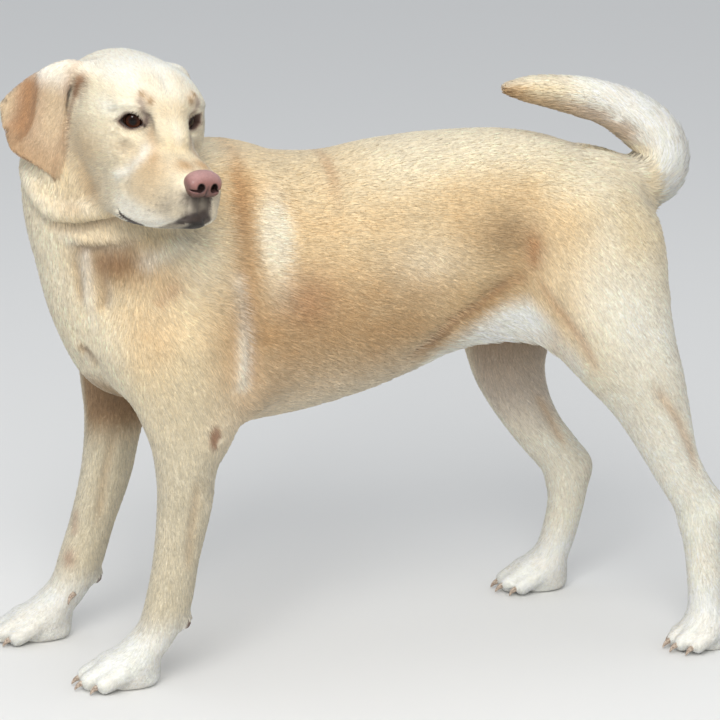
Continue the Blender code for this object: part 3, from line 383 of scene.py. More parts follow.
HIND_R = [
    (-0.205, -0.058, 0.470, 0.052, 0.070, 0.072),
    (-0.207, -0.074, 0.420, 0.054, 0.075, 0.080),
    (-0.205, -0.086, 0.375, 0.050, 0.066, 0.072),
    (-0.200, -0.094, 0.338, 0.043, 0.058, 0.060),
    (-0.202, -0.098, 0.305, 0.037, 0.050, 0.050),
    (-0.208, -0.100, 0.269, 0.030, 0.042, 0.040),
    (-0.221, -0.101, 0.233, 0.0250, 0.0330, 0.0340),
    (-0.243, -0.101, 0.196, 0.0225, 0.0280, 0.0290),
    (-0.268, -0.102, 0.158, 0.0210, 0.0230, 0.0310),
    (-0.277, -0.103, 0.135, 0.0215, 0.0235, 0.0280),
    (-0.279, -0.105, 0.105, 0.0195, 0.0210, 0.0220),
    (-0.272, -0.110, 0.061, 0.0190, 0.0200, 0.0200),
    (-0.263, -0.113, 0.034, 0.0215, 0.0200, 0.0190)]
TAIL = [
    (-0.258, 0.0, 0.498, 0.036, 0.036, 0.036),
    (-0.300, 0.0, 0.500, 0.032, 0.032, 0.032),
    (-0.333, 0.0, 0.512, 0.031, 0.031, 0.031),
    (-0.338, 0.0, 0.540, 0.0295, 0.0295, 0.0295),
    (-0.318, 0.0, 0.566, 0.0270, 0.0270, 0.0270),
    (-0.286, 0.0, 0.586, 0.0240, 0.0240, 0.0240),
    (-0.250, 0.0, 0.599, 0.0225, 0.0225, 0.0225),
    (-0.206, 0.0, 0.608, 0.0178, 0.0178, 0.0178),
    (-0.178, 0.0, 0.6110, 0.0130, 0.0130, 0.0130),
    (-0.164, 0.0, 0.6120, 0.0062, 0.0062, 0.0062)]

# rolls of loose skin at the throat: under the jaw, and a smaller one below it
ROLLS = [[(0.330, -0.044, 0.556, 0.006, 0.006, 0.006),
          (0.3405, -0.015, 0.556, 0.011, 0.011, 0.011),
          (0.3415, 0.0200, 0.543, 0.0145, 0.0155, 0.0145),
          (0.3285, 0.0400, 0.522, 0.0155, 0.0165, 0.0150),
          (0.3066, 0.0558, 0.517, 0.0155, 0.0165, 0.0142),
          (0.2768, 0.0668, 0.521, 0.0145, 0.0155, 0.0135),
          (0.2500, 0.0680, 0.526, 0.0090, 0.0110, 0.0090)],
         [(0.3200, 0.0405, 0.497, 0.0060, 0.0060, 0.0060),
          (0.3060, 0.0525, 0.4912, 0.0100, 0.0100, 0.0100),
          (0.2908, 0.0592, 0.4875, 0.0112, 0.0115, 0.0112),
          (0.2692, 0.0658, 0.4897, 0.0112, 0.0115, 0.0112),
          (0.2480, 0.0670, 0.4970, 0.0080, 0.0090, 0.0080)]]

# elbow and hock points, and the pads behind the wrists: place, size, blend
POINTS = {'fore_left': ((0.180, 0.100, 0.288), 0.020, 0.025), 'fore_right': ((0.220, -0.098, 0.288), 0.020, 0.025),
          'hind_left': ((-0.377, 0.096, 0.160), 0.0135, 0.020), 'hind_right': ((-0.291, -0.103, 0.150), 0.0135, 0.020)}
WRIST_PADS = {'fore_left': (0.202, 0.077, 0.072), 'fore_right': (0.269, -0.089, 0.068)}
DEWCLAWS = {'fore_left': ((0.230, 0.0475, 0.060), (0.237, 0.0440, 0.050)), 'fore_right': ((0.298, -0.0675, 0.057), (0.306, -0.0640, 0.047))}

# paws: centre x, y; yaw in degrees; length scale
PAWS = {'fore_left': (0.268, 0.060, 2.0, 1.0), 'fore_right': (0.338, -0.096, 3.0, 1.0),
        'hind_left': (-0.374, 0.101, 10.0, 0.90), 'hind_right': (-0.246, -0.114, 3.0, 0.94)}
# toes of a left paw, from the inner one outward: knuckle x, y, z, tip x, y, z, radii
TOES = [((0.006, -0.0215, 0.0190), (0.024, -0.0225, 0.0110), 0.0112, 0.0100),
        ((0.014, -0.0078, 0.0220), (0.036, -0.0080, 0.0112), 0.0122, 0.0105),
        ((0.014, 0.0078, 0.0220), (0.036, 0.0080, 0.0112), 0.0122, 0.0105),
        ((0.005, 0.0215, 0.0190), (0.023, 0.0225, 0.0110), 0.0112, 0.0100)]

def paw(name):
    x, y, yaw, s = PAWS[name]
    side = 1.0 if name.endswith('left') else -1.0
    forms = [ball((-0.006, 0, 0.0200), (0.034 * s, 0.0270 * s, 0.0210), 0.01),
             ball((-0.010, 0, 0.0100), (0.030 * s, 0.0250 * s, 0.0115), 0.008, n=2.6)]
    for (kx, ky, kz), (tx, ty, tz), r0, r1 in TOES:
        forms.append(cone((kx * s, ky * side * s, kz), (tx * s, ty * side * s, tz), r0 * s, r1 * s, 0.005))
    return Group(forms, 0.014, (x, y, 0.0), turn(yaw), name + '_paw')

def head_forms():
    f = [ball((-0.052, 0, 0.003), (0.070, 0.060, 0.046), 0.02),
         ball((-0.020, 0, 0.013), (0.044, 0.047, 0.029), 0.02),
         ball((0.014, 0, -0.010), (0.032, 0.024, 0.020), 0.018),
         limb([(-0.020, 0, -0.036, 0.047, 0.032, 0.056),
               (0.015, 0, -0.040, 0.038, 0.031, 0.053),
               (0.045, 0, -0.043, 0.0325, 0.0280, 0.0475),
               (0.075, 0, -0.044, 0.0295, 0.0275, 0.0362),
               (0.093, 0, -0.044, 0.0265, 0.0250, 0.0285)], (0, 0, 1), 0.014, 5, 2.5, 0.45),
         ball((-0.045, 0, -0.055), (0.058, 0.046, 0.040), 0.022),
         ball((0.0725, 0.0018, -0.0742), (0.0360, 0.0212, 0.0115), 0.010, turn(0, -13))]
    for s in (-1, 1):
        f += [ball((-0.040, s * 0.034, -0.022), (0.048, 0.032, 0.038), 0.02),
              ball((-0.006, s * 0.027, 0.014), (0.020, 0.019, 0.011), 0.012),
              ball((0.0300, s * 0.0240, -0.0700), (0.066, 0.0148, 0.0275), 0.012, turn(-6 * s, -12), 2.5),
              ball((-0.072, s * 0.050, 0.022), (0.024, 0.016, 0.013), 0.014),
              ball((0.0150, s * 0.0325, 0.0005), (0.0110, 0.0150, 0.0088), 0.008, cut=True)]
    return f

# the flap of an ear in its own plane: first measure away from the head along the top fold, second down toward the tip
EAR_RING = [(0.002, 0.0045), (0.0080, 0.0211), (0.0069, 0.0420), (0.0002, 0.0665), (-0.0033, 0.0895), (-0.0041, 0.1081),
            (-0.0002, 0.1190), (0.0072, 0.1161), (0.0218, 0.1118), (0.0370, 0.1096), (0.0515, 0.1057), (0.0655, 0.0937),
            (0.0745, 0.0825), (0.0785, 0.0720), (0.0790, 0.0640), (0.0695, 0.0475), (0.0573, 0.0310), (0.0434, 0.0165),
            (0.0306, 0.0045), (0.0190, -0.0025), (0.0089, -0.0045), (0.0021, -0.0010)]
EAR_AT = {'left': (-0.066, 0.057, 0.0265), 'right': (-0.062, -0.061, 0.032)}
EAR_THICK = 0.0042
EAR_SWING = {'left': 16.0, 'right': 0.0}  # degrees by which the flap lies back toward the neck

def soft_ramp(x, w):
    r = np.sqrt(x * x + w * w)
    return 0.5 * (x + r), 0.5 * (1 + x / r)

def ear_fold(t):
    """Place along the flap where its fold lies, and how fast it moves back toward the tip."""
    z = np.maximum(t - 0.060, 0.0)
    return 0.0395 - 0.12 * (t - 0.020) + 12.0 * z * z, -0.12 + 24.0 * z

def ear_bend(s, t):
    """Rise of the flap off its plane: the fold down its middle, with a hollow behind it, a rolled front edge and the bend at its root."""
    at, move = ear_fold(t)
    a, da = soft_ramp(s - at, 0.004)
    b, db = soft_ramp(0.012 - s, 0.008)
    c, dc = soft_ramp(s - at - 0.018, 0.008)
    deep = 0.0080 * np.clip((0.108 - t) / 0.030, 0.0, 1.0)
    z = np.maximum(0.022 - t, 0.0)
    rise = -0.26 * a - deep * (1 - np.exp(-a / 0.007)) + 0.22 * c - 0.35 * b - 10.0 * z * z
    dx = -0.26 * da - deep / 0.007 * np.exp(-a / 0.007) * da + 0.22 * dc
    ds = dx + 0.35 * db
    dt = -dx * move + 20.0 * z
    return rise, np.sqrt(1 + ds * ds + dt * dt)

def ear_axes(side):
    m = 1.0 if side == 'left' else -1.0
    fold = np.array((-0.7494, m * 0.6559, 0.0906))
    down = unit((-0.0511, m * 0.0791, -0.9956))
    out = np.array((0.6602, m * 0.7507, 0.0258))
    q = radians(EAR_SWING[side])
    fold, out = fold * cos(q) - out * sin(q), out * cos(q) + fold * sin(q)
    return np.stack([unit(fold), down, unit(out)], 1)

def ear_forms(side):
    m = 1.0 if side == 'left' else -1.0
    at = np.array(EAR_AT[side])
    return [sheet(at, ear_axes(side), EAR_RING, EAR_THICK, ear_bend, 0.006, 3)]

def dog():
    g = []
    g.append(Group([limb(TRUNK, (0, 0, 1), 0.03, 5, 2.15)], 0.03, name='trunk'))
    chest = [ball((0.262, 0, 0.366), (0.034, 0.036, 0.046), 0.03)]
    for s in (-1, 1):
        chest += [ball((0.240, s * 0.062, 0.372), (0.046, 0.040, 0.056), 0.03),
                  ball((0.165, s * 0.080, 0.340), (0.056, 0.032, 0.058), 0.03),
                  limb([(0.130, s * 0.045, 0.525, 0.025, 0.05, 0.05), (0.185, s * 0.070, 0.44, 0.030, 0.055, 0.055), (0.225, s * 0.078, 0.37, 0.030, 0.045, 0.05)], (1, 0, 0), 0.03, 5),
                  ball((-0.262, s * 0.052, 0.440), (0.062, 0.046, 0.070), 0.03),
                  limb([(-0.10, s * 0.072, 0.384, 0.010, 0.024, 0.024), (-0.200, s * 0.080, 0.377, 0.010, 0.024, 0.024)], (0, 0, 1), 0.03, 1)]
    g.append(Group(chest, 0.03, name='chest'))
    g.append(Group([limb(NECK, (1, 0, 0), 0.03)], 0.03, name='neck'))
    g.append(Group([limb(rows, (0, 0, 1), 0.004) for rows in ROLLS], 0.006, name='throat'))
    for name, rows in (('fore_left', FORE_L), ('fore_right', FORE_R), ('hind_left', HIND_L), ('hind_right', HIND_R)):
        g.append(Group([limb(rows, (1, 0, 0), 0.01), ball(*POINTS[name])], 0.022, name=name))
        g.append(paw(name))
    g.append(Group([ball(c, (0.0075, 0.0080, 0.0095), 0.01) for c in WRIST_PADS.values()], 0.010, name='wrist_pads'))
    g.append(Group([limb(TAIL, (0, 1, 0), 0.01)], 0.028, name='tail'))
    h = turn(*HEAD_TURN)
    head = head_forms()
    g.append(Group(head, 0.024, HEAD_AT, h, 'head'))
    g += [Group(ear_forms(side), 0.005, HEAD_AT, h, 'ear_' + side) for side in ('left', 'right')]
    return g


# ---------------------------------------------------------------- places shared with the solids
EYE_RADIUS = 0.0115
EYE_AT = np.array((-0.0020, 0.0272, 0.0010))
NOSE_AT = np.array((0.1035, 0.0, -0.0295))
NOSE_HALF = np.array((0.0125, 0.0195, 0.0135))
CLAW_LENGTH, CLAW_ROOT = 0.0120, 0.0030
SHIFT = np.array((0.01028, -0.03720, 0.0))
AT, HM = np.array(HEAD_AT), turn(*HEAD_TURN)
GROUPS = dog()
BY_NAME = {g.name: g for g in GROUPS}


def spread(f, p, step=24000):
    """A function of points, worked out in slices on four threads."""
    if len(p) <= step:
        return f(p)
    parts = [p[i:i + step] for i in range(0, len(p), step)]
    with ThreadPoolExecutor(4) as pool:
        return np.concatenate(list(pool.map(f, parts)))


def ramp(x, a, b):
    t = np.clip((x - a) / (b - a), 0.0, 1.0)
    return t * t * (3 - 2 * t)


def bell(x, w):
    return np.exp(-(x / w) ** 2)


def lerp(a, b, t):
    return a + (b - a) * t


def in_head(p):
    return (p - AT) @ HM


def value_noise(p, scale, seed):
    """Smooth noise from -1 to 1, with features 1/scale metres apart."""
    q = p * scale + seed * 17.31
    i = np.floor(q).astype(np.int64)
    f = q - i
    f = f * f * (3 - 2 * f)
    def h(dx, dy, dz):
        n = (i[:, 0] + dx) * 73856093 ^ (i[:, 1] + dy) * 19349663 ^ (i[:, 2] + dz) * 83492791 ^ (seed * 2654435)
        n = (n ^ (n >> 13)) * 1274126177
        return ((n ^ (n >> 16)) & 0xFFFF) / 32767.5 - 1.0
    c = [lerp(h(0, j, k), h(1, j, k), f[:, 0]) for k in (0, 1) for j in (0, 1)]
    return lerp(lerp(c[0], c[1], f[:, 1]), lerp(c[2], c[3], f[:, 1]), f[:, 2])


# ---------------------------------------------------------------- the face
MOUTH = np.array([(0.0150, 0.0360, -0.0885), (0.0195, 0.0355, -0.0925), (0.0334, 0.0350, -0.0943), (0.0452, 0.0335, -0.0933), (0.0560, 0.0305, -0.0910),
                  (0.0705, 0.0270, -0.0872), (0.0840, 0.0235, -0.0810), (0.0955, 0.0175, -0.0738), (0.1035, 0.0085, -0.0672), (0.1065, 0.0, -0.0625)])
ACROSS = np.array((1.0, 0.3, 1.0))  # the mouth's line is measured mostly along and down the face, little across it

# folds of the skin: line, depth of the crease (less than 0 for a ridge), width, and whether it lies on both sides of the dog
FOLDS = [
    ([(0.133, 0.053, 0.560), (0.140, 0.084, 0.525), (0.142, 0.097, 0.497), (0.1395, 0.104, 0.460), (0.138, 0.1085, 0.427), (0.1495, 0.111, 0.381)], 0.0026, 0.010, True),
    ([(0.120, 0.084, 0.5245), (0.115, 0.0986, 0.491), (0.112, 0.108, 0.457), (0.110, 0.111, 0.415)], -0.0024, 0.013, True),
    ([(0.1400, 0.107, 0.440), (0.1385, 0.109, 0.406), (0.1375, 0.111, 0.359), (0.1400, 0.1100, 0.335)], 0.0030, 0.0055, True),
    ([(0.1560, 0.107, 0.448), (0.1485, 0.110, 0.406), (0.1480, 0.1126, 0.355), (0.1510, 0.112, 0.335)], -0.0026, 0.0075, True),
    ([(0.2370, 0.1001, 0.4250), (0.2290, 0.1001, 0.4340), (0.2070, 0.1014, 0.4500)], 0.0026, 0.0080, True),
    ([(0.2420, 0.0960, 0.4480), (0.2190, 0.0960, 0.4660)], -0.0014, 0.010, True),
    ([(0.3110, 0.0535, 0.4680), (0.3055, 0.0561, 0.4500), (0.3024, 0.0583, 0.4170)], 0.0040, 0.0042, False),
    ([(0.2880, 0.0660, 0.4720), (0.2840, 0.0690, 0.4500), (0.2815, 0.0715, 0.4350), (0.2842, 0.0727, 0.4150)], 0.0048, 0.0055, False),
    ([(0.3000, 0.0605, 0.472), (0.2985, 0.0610, 0.424)], -0.0024, 0.0080, False),
    ([(0.2650, 0.073, 0.474), (0.2450, 0.085, 0.452)], 0.0018, 0.0070, False),
    ([(0.3075, 0.0394, 0.3730), (0.3075, 0.0394, 0.3690)], -0.0030, 0.0080, False),
    ([(0.3005, 0.0490, 0.3670), (0.2900, 0.0600, 0.3560)], 0.0028, 0.0055, False),
    ([(-0.1664, 0.1007, 0.4763), (-0.1615, 0.1004, 0.4605), (-0.1618, 0.1009, 0.439)], 0.0034, 0.0070, True),
    ([(-0.1618, 0.1009, 0.439), (-0.148, 0.0970, 0.4295), (-0.130, 0.0962, 0.4205), (-0.098, 0.0988, 0.4000), (-0.076, 0.1005, 0.3880), (-0.046, 0.0930, 0.3590), (-0.0266, 0.0864, 0.3420)], 0.0030, 0.0052, True),
    ([(-0.1400, 0.0980, 0.447), (-0.0950, 0.1010, 0.420), (-0.0600, 0.099, 0.391)], -0.0016, 0.0110, True),
    ([(-0.1618, 0.1009, 0.439), (-0.1807, 0.1126, 0.4087), (-0.1923, 0.1186, 0.3934), (-0.2108, 0.1248, 0.3668), (-0.2345, 0.1242, 0.3214)], 0.0020, 0.0065, False),
    ([(-0.1800, 0.1150, 0.440), (-0.2000, 0.1210, 0.4087), (-0.2250, 0.1290, 0.3668)], -0.0022, 0.0120, False),
    ([(-0.2400, 0.1300, 0.445), (-0.2750, 0.1300, 0.400), (-0.2950, 0.1250, 0.350)], 0.0018, 0.0100, False),
    ([(0.3372, 0.0369, 0.5020), (0.3221, 0.0514, 0.5000), (0.3044, 0.0617, 0.5015), (0.2718, 0.0743, 0.5100), (0.2500, 0.0760, 0.5160)], 0.0042, 0.0038, False),
    ([(0.3120, 0.0560, 0.4800), (0.2943, 0.0659, 0.4780), (0.2642, 0.0750, 0.4800), (0.2451, 0.0782, 0.4920)], 0.0038, 0.0042, False),
]
# long hollows of the legs, seen from either side: line in x and z, depth, width, and the side of the dog
HOLLOWS = [
    ([(-0.2857, 0.3216), (-0.3044, 0.2974), (-0.3222, 0.2722), (-0.3410, 0.2350), (-0.3560, 0.1950)], 0.0046, 0.0060, 1),
    ([(-0.2250, 0.2560), (-0.2433, 0.2256), (-0.2560, 0.2008), (-0.2725, 0.1760)], 0.0046, 0.0055, -1),
    ([(0.1935, 0.2500), (0.2010, 0.1900), (0.2040, 0.1300)], 0.0026, 0.0055, 1),
    ([(0.2480, 0.2500), (0.2620, 0.1900), (0.2700, 0.1300)], 0.0028, 0.0055, -1),
]


def line_distance(p, line):
    """Distance of points from an open line of straight pieces, with the place along it."""
    best = np.full(len(p), 1e3)
    at = np.zeros(len(p))
    for i in range(len(line) - 1):
        a, ab = line[i], line[i + 1] - line[i]
        s = np.clip(((p - a) @ ab) / (ab @ ab), 0, 1)
        w = p - a - s[:, None] * ab
        r = (w * w).sum(1)
        at = np.where(r < best, i + s, at)
        best = np.minimum(best, r)
    return np.sqrt(best), at / (len(line) - 1)


def eye_axes(side, azimuth=40.0, rise=4.0, roll=-3.0):
    """Columns: out of the socket, forward along the lids, up."""
    m = 1.0 if side == 'left' else -1.0
    a, e = radians(azimuth), radians(rise)
    out = np.array((cos(a) * cos(e), m * sin(a) * cos(e), sin(e)))
    up = np.array((0.0, 0.0, 1.0)) - out * out[2]
    up = up / np.linalg.norm(up)
    fore = np.cross(up, out) * m
    if fore[0] < 0:
        fore = -fore
    q = radians(roll)
    fore, up = fore * cos(q) - up * sin(q), up * cos(q) + fore * sin(q)
    return np.stack([out, fore, up], 1)


EYE_C = {s: EYE_AT * (1, 1 if s == 'left' else -1, 1) for s in ('left', 'right')}
EYE_AX = {s: eye_axes(s) for s in ('left', 'right')}
LID_HALF, LID_UP, LID_DOWN, LID_FLOOR, LID_LINE = 0.0118, 0.0108, 0.0058, 0.0056, -0.0026


def almond(x, y):
    """Signed distance, near enough, to the opening of the lids: pointed at both corners."""
    y = y - LID_LINE
    h = np.where(y > 0, LID_UP, LID_DOWN)
    t = np.clip(np.abs(x) / LID_HALF, 0, 1.6)
    edge = h * (1 - t ** 2.0)
    slope_ = 2.0 * h * t / LID_HALF
    return (np.abs(y) - edge) / np.sqrt(1 + slope_ ** 2)


def with_lids(d, q):
    for side in ('left', 'right'):
        c, ax = EYE_C[side], EYE_AX[side]
        w = (q - c) @ ax
        r = np.linalg.norm(w, axis=1)
        near = r < 0.035
        if not near.any():
            continue
        w, r, e = w[near], r[near], d[near]
        # the lids: a shell round the ball, thicker above
        lid = quotient(w[:, 0], w[:, 1], w[:, 2], EYE_RADIUS + 0.0012, 0.0165, EYE_RADIUS + 0.0022, 2.0) - 0.0006 * ramp(w[:, 2], 0.0, 0.006)
        e = smin(e, lid, 0.006)
        # soft crease above the upper lid, and one under the lower
        rho = np.hypot(w[:, 1] * 0.72, w[:, 2])
        front = ramp(w[:, 0], 0.0, 0.006)
        e = e + 0.0011 * bell(rho - 0.0136, 0.0016) * ramp(w[:, 2], 0.0, 0.006) * front
        e = e + 0.0007 * bell(rho - 0.0132, 0.0014) * ramp(-w[:, 2], 0.0, 0.006) * front
        # opening and socket
        cut = smax(almond(w[:, 1], w[:, 2]), LID_FLOOR - w[:, 0], 0.0015)
        e = smax(e, -cut, 0.0010)
        e = np.maximum(e, -(r - EYE_RADIUS - 0.00035))
        d = d.copy()
        d[near] = e
    return d


def face_relief(q):
    """Depth by which the face lies below its plain form, in the head's own frame."""
    x, y, z = q[:, 0], q[:, 1], q[:, 2]
    ay = np.abs(y)
    s = np.stack([x, ay, z], 1)
    out = np.zeros(len(q))
    m, t = line_distance(s * ACROSS, MOUTH * ACROSS)
    out += 0.0030 * bell(m, 0.0017)
    above = ramp(z - np.interp(x, MOUTH[:, 0], MOUTH[:, 2]), 0.000, 0.004)
    out -= 0.0013 * bell(m - 0.0055, 0.0042) * above
    # the cleft of the upper lip, under the nose
    out += 0.0016 * bell(y, 0.0014) * ramp(x, 0.094, 0.102) * ramp(-z, 0.036, 0.042) * (1 - ramp(-z, 0.062, 0.068))
    # lips drawn in round the nose
    n = np.linalg.norm((q - NOSE_AT) / (NOSE_HALF + 0.0040), axis=1)
    out += 0.0009 * bell(n - 1.0, 0.22) * ramp(x, 0.08, 0.10)
    # furrow between the eyes, up the forehead
    out += 0.0022 * bell(y, 0.0085) * bell(x + 0.002, 0.026) * ramp(z, -0.012, 0.012)
    # brows
    b = (s - (0.0090, 0.0270, 0.0240)) / (0.0075, 0.0085, 0.0065)
    out -= 0.0024 * np.exp(-(b ** 2).sum(1))
    b = (s - (0.0000, 0.0420, 0.0170)) / (0.0090, 0.0080, 0.0060)
    out -= 0.0016 * np.exp(-(b ** 2).sum(1))
    b = (s - (0.0165, 0.0220, 0.0100)) / (0.0050, 0.0060, 0.0070)
    out += 0.0018 * np.exp(-(b ** 2).sum(1))
    # hollow under the eye and the edge of the cheek's muscle
    b = (s - (0.0170, 0.0390, -0.0250)) / (0.0120, 0.0100, 0.0085)
    out += 0.0024 * np.exp(-(b ** 2).sum(1))
    line = np.array([(0.004, 0.0470, -0.0150), (0.022, 0.0385, -0.0400), (0.026, 0.0385, -0.0620)])
    m, t = line_distance(s, line)
    out += 0.0014 * bell(m, 0.0050)
    line = np.array([(0.0340, 0.0305, -0.0280), (0.0270, 0.0345, -0.0400), (0.0200, 0.0385, -0.0480), (0.0120, 0.0415, -0.0530)])
    m, t = line_distance(s, line)
    out -= 0.0018 * bell(m, 0.0055)
    # furrow from the eye's inner corner down beside the bridge, and the bridge's edge
    line = np.array([(0.0200, 0.0190, 0.0000), (0.0400, 0.0200, -0.0130), (0.0650, 0.0220, -0.0250)])
    m, t = line_distance(s, line)
    out += 0.0016 * bell(m, 0.0050)
    line = np.array([(0.0300, 0.0110, 0.0000), (0.0600, 0.0120, -0.0130), (0.0850, 0.0120, -0.0180)])
    m, t = line_distance(s, line)
    out -= 0.0012 * bell(m, 0.0055)
    # fold from the corner of the mouth up the cheek
    line = np.array([(-0.008, 0.0345, -0.0900), (-0.0120, 0.0450, -0.0650), (-0.0060, 0.0500, -0.0480)])
    m, t = line_distance(s, line)
    out += 0.0016 * bell(m, 0.0055) * (1 - ramp(t, 0.5, 1.0))
    # hollow where the ear's flap hangs from the head
    b = (s - (-0.0600, 0.0610, 0.0080)) / (0.0110, 0.0090, 0.0180)
    out += 0.0030 * np.exp(-(b ** 2).sum(1))
    return out


def body_relief(p):
    """Creases and ridges of the skin over the muscles; depth below the plain form."""
    out = np.zeros(len(p))
    folded = p * (1, 0, 1) + np.abs(p[:, 1:2]) * (0, 1, 0)
    for line, depth, width, twice in FOLDS:
        line = np.array(line)
        s = folded if twice else p
        near = np.nonzero(np.all((s > line.min(0) - width * 3) & (s < line.max(0) + width * 3), axis=1))[0]
        if len(near):
            m, t = line_distance(s[near], line)
            ends = ramp(t, -0.02, 0.22) * (1 - ramp(t, 0.78, 1.02)) if len(line) > 2 or twice else 1.0
            out[near] += depth * bell(m, width) * ends
    for line, depth, width, sign in HOLLOWS:
        line = np.array([(x, 0.0, z) for x, z in line])
        s = p * (1, 0, 1)
        near = np.nonzero((p[:, 1] * sign > 0.04) & np.all((s > line.min(0) - width * 3) & (s < line.max(0) + width * 3), axis=1))[0]
        if len(near):
            m, t = line_distance(s[near], line)
            out[near] += depth * bell(m, width) * ramp(t, -0.02, 0.25) * (1 - ramp(t, 0.75, 1.02))
    return out


# ---------------------------------------------------------------- the coat's depth and length
def ear_place(p, side):
    """A point in the plane of an ear's flap: outward, down, and off the plane."""
    ax = ear_axes(side)
    w = (in_head(p) - np.array(EAR_AT[side])) @ ax
    rise, lean = ear_bend(w[:, 0], w[:, 1])
    return w[:, 0], w[:, 1], (w[:, 2] - rise) / lean


def ear_weight(p):
    out = np.zeros(len(p))
    for side in ('left', 'right'):
        s, t, n = ear_place(p, side)
        w = ramp(s, -0.014, -0.004) * (1 - ramp(s, 0.084, 0.094)) * ramp(t, -0.014, -0.004) * (1 - ramp(t, 0.120, 0.130)) * (1 - ramp(np.abs(n), 0.006, 0.014))
        out = np.maximum(out, w)
    return out


def head_weight(q):
    r = np.linalg.norm((q - (0.005, 0, -0.032)) / (0.120, 0.082, 0.092), axis=1)
    return 1 - ramp(r, 0.85, 1.15)


def tail_weight(p):
    x, z = p[:, 0], p[:, 2]
    a = ramp(z, 0.568, 0.580) * ramp(-x, 0.130, 0.150)
    b = ramp(-x, 0.282, 0.312) * ramp(z, 0.462, 0.490)
    return np.maximum(a, b)


def coat_depth(p):
    q = in_head(p)
    x, y, z = p[:, 0], p[:, 1], p[:, 2]
    d = np.full(len(p), 0.0027)
    d = lerp(d, 0.0034, ramp(x, 0.14, 0.22) * ramp(z, 0.40, 0.46))
    d = lerp(d, 0.0018, 1 - ramp(z, 0.24, 0.34))
    d = lerp(d, 0.0012, 1 - ramp(z, 0.035, 0.080))
    d = lerp(d, 0.0050, tail_weight(p))
    d = lerp(d, 0.0016, head_weight(q))
    d = lerp(d, 0.0010, head_weight(q) * ramp(q[:, 0], -0.01, 0.05))
    d = lerp(d, 0.0012, ear_weight(p))
    return lerp(d, 0.0, 1 - ramp(z, 0.001, 0.007))


def skin_field(p, near=0.02):
    d = whole(GROUPS, p, near, floor=False)
    d = d + coat_depth(p)
    q = in_head(p)
    close = np.nonzero((np.abs(d) < 0.03) & (np.abs(q).max(1) < 0.17) & (q[:, 2] > -0.15))[0]
    if len(close):
        e = d[close] + face_relief(q[close]) * (1 - ear_weight(p[close]))
        d[close] = with_lids(e, q[close])
    rest = np.nonzero((np.abs(d) < 0.02) & (p[:, 2] < 0.57))[0]
    d[rest] += body_relief(p[rest])
    return np.maximum(d, -p[:, 2])


def parallel_surface(field, X, Y, Z, newton=1):
    return surface(lambda p, near=0.02: spread(lambda s: field(s, near), p), X, Y, Z, newton=newton)


# ---------------------------------------------------------------- colours (sRGB, as seen in plain light), and the coat's tones with painted light and shade
def lin(*c):
    c = np.asarray(c, float) / 255.0
    return np.where(c <= 0.04045, c / 12.92, ((c + 0.055) / 1.055) ** 2.4)


WHITE, PALE, CREAM = lin(252, 249, 240), lin(245, 235, 211), lin(235, 217, 181)
GOLD, TAN, RUSSET, BROWN, DUN = lin(219, 187, 139), lin(194, 156, 110), lin(182, 134, 90), lin(146, 110, 80), lin(170, 140, 103)
GREY_SKIN, LIP, PINK, EAR_TAN = lin(112, 98, 92), lin(58, 48, 42), lin(206, 164, 146), lin(190, 160, 132)

DARK = lin(122, 88, 60)


def spot(p, at, size, power=1.0):
    """1 in the middle of a soft oval spot and 0 outside it."""
    r = (((p - np.asarray(at)) / np.asarray(size)) ** 2).sum(1)
    return np.exp(-r * 1.2) ** power


def stripe(p, line, width):
    m, t = line_distance(p, np.asarray(line, float))
    return bell(m, width)


def both(p, fold=0.75):
    """Points with the right side folded onto the left, and how much a left-side marking holds there."""
    s = p.copy()
    s[:, 1] = np.abs(s[:, 1])
    return s, np.where(p[:, 1] >= 0, 1.0, fold)


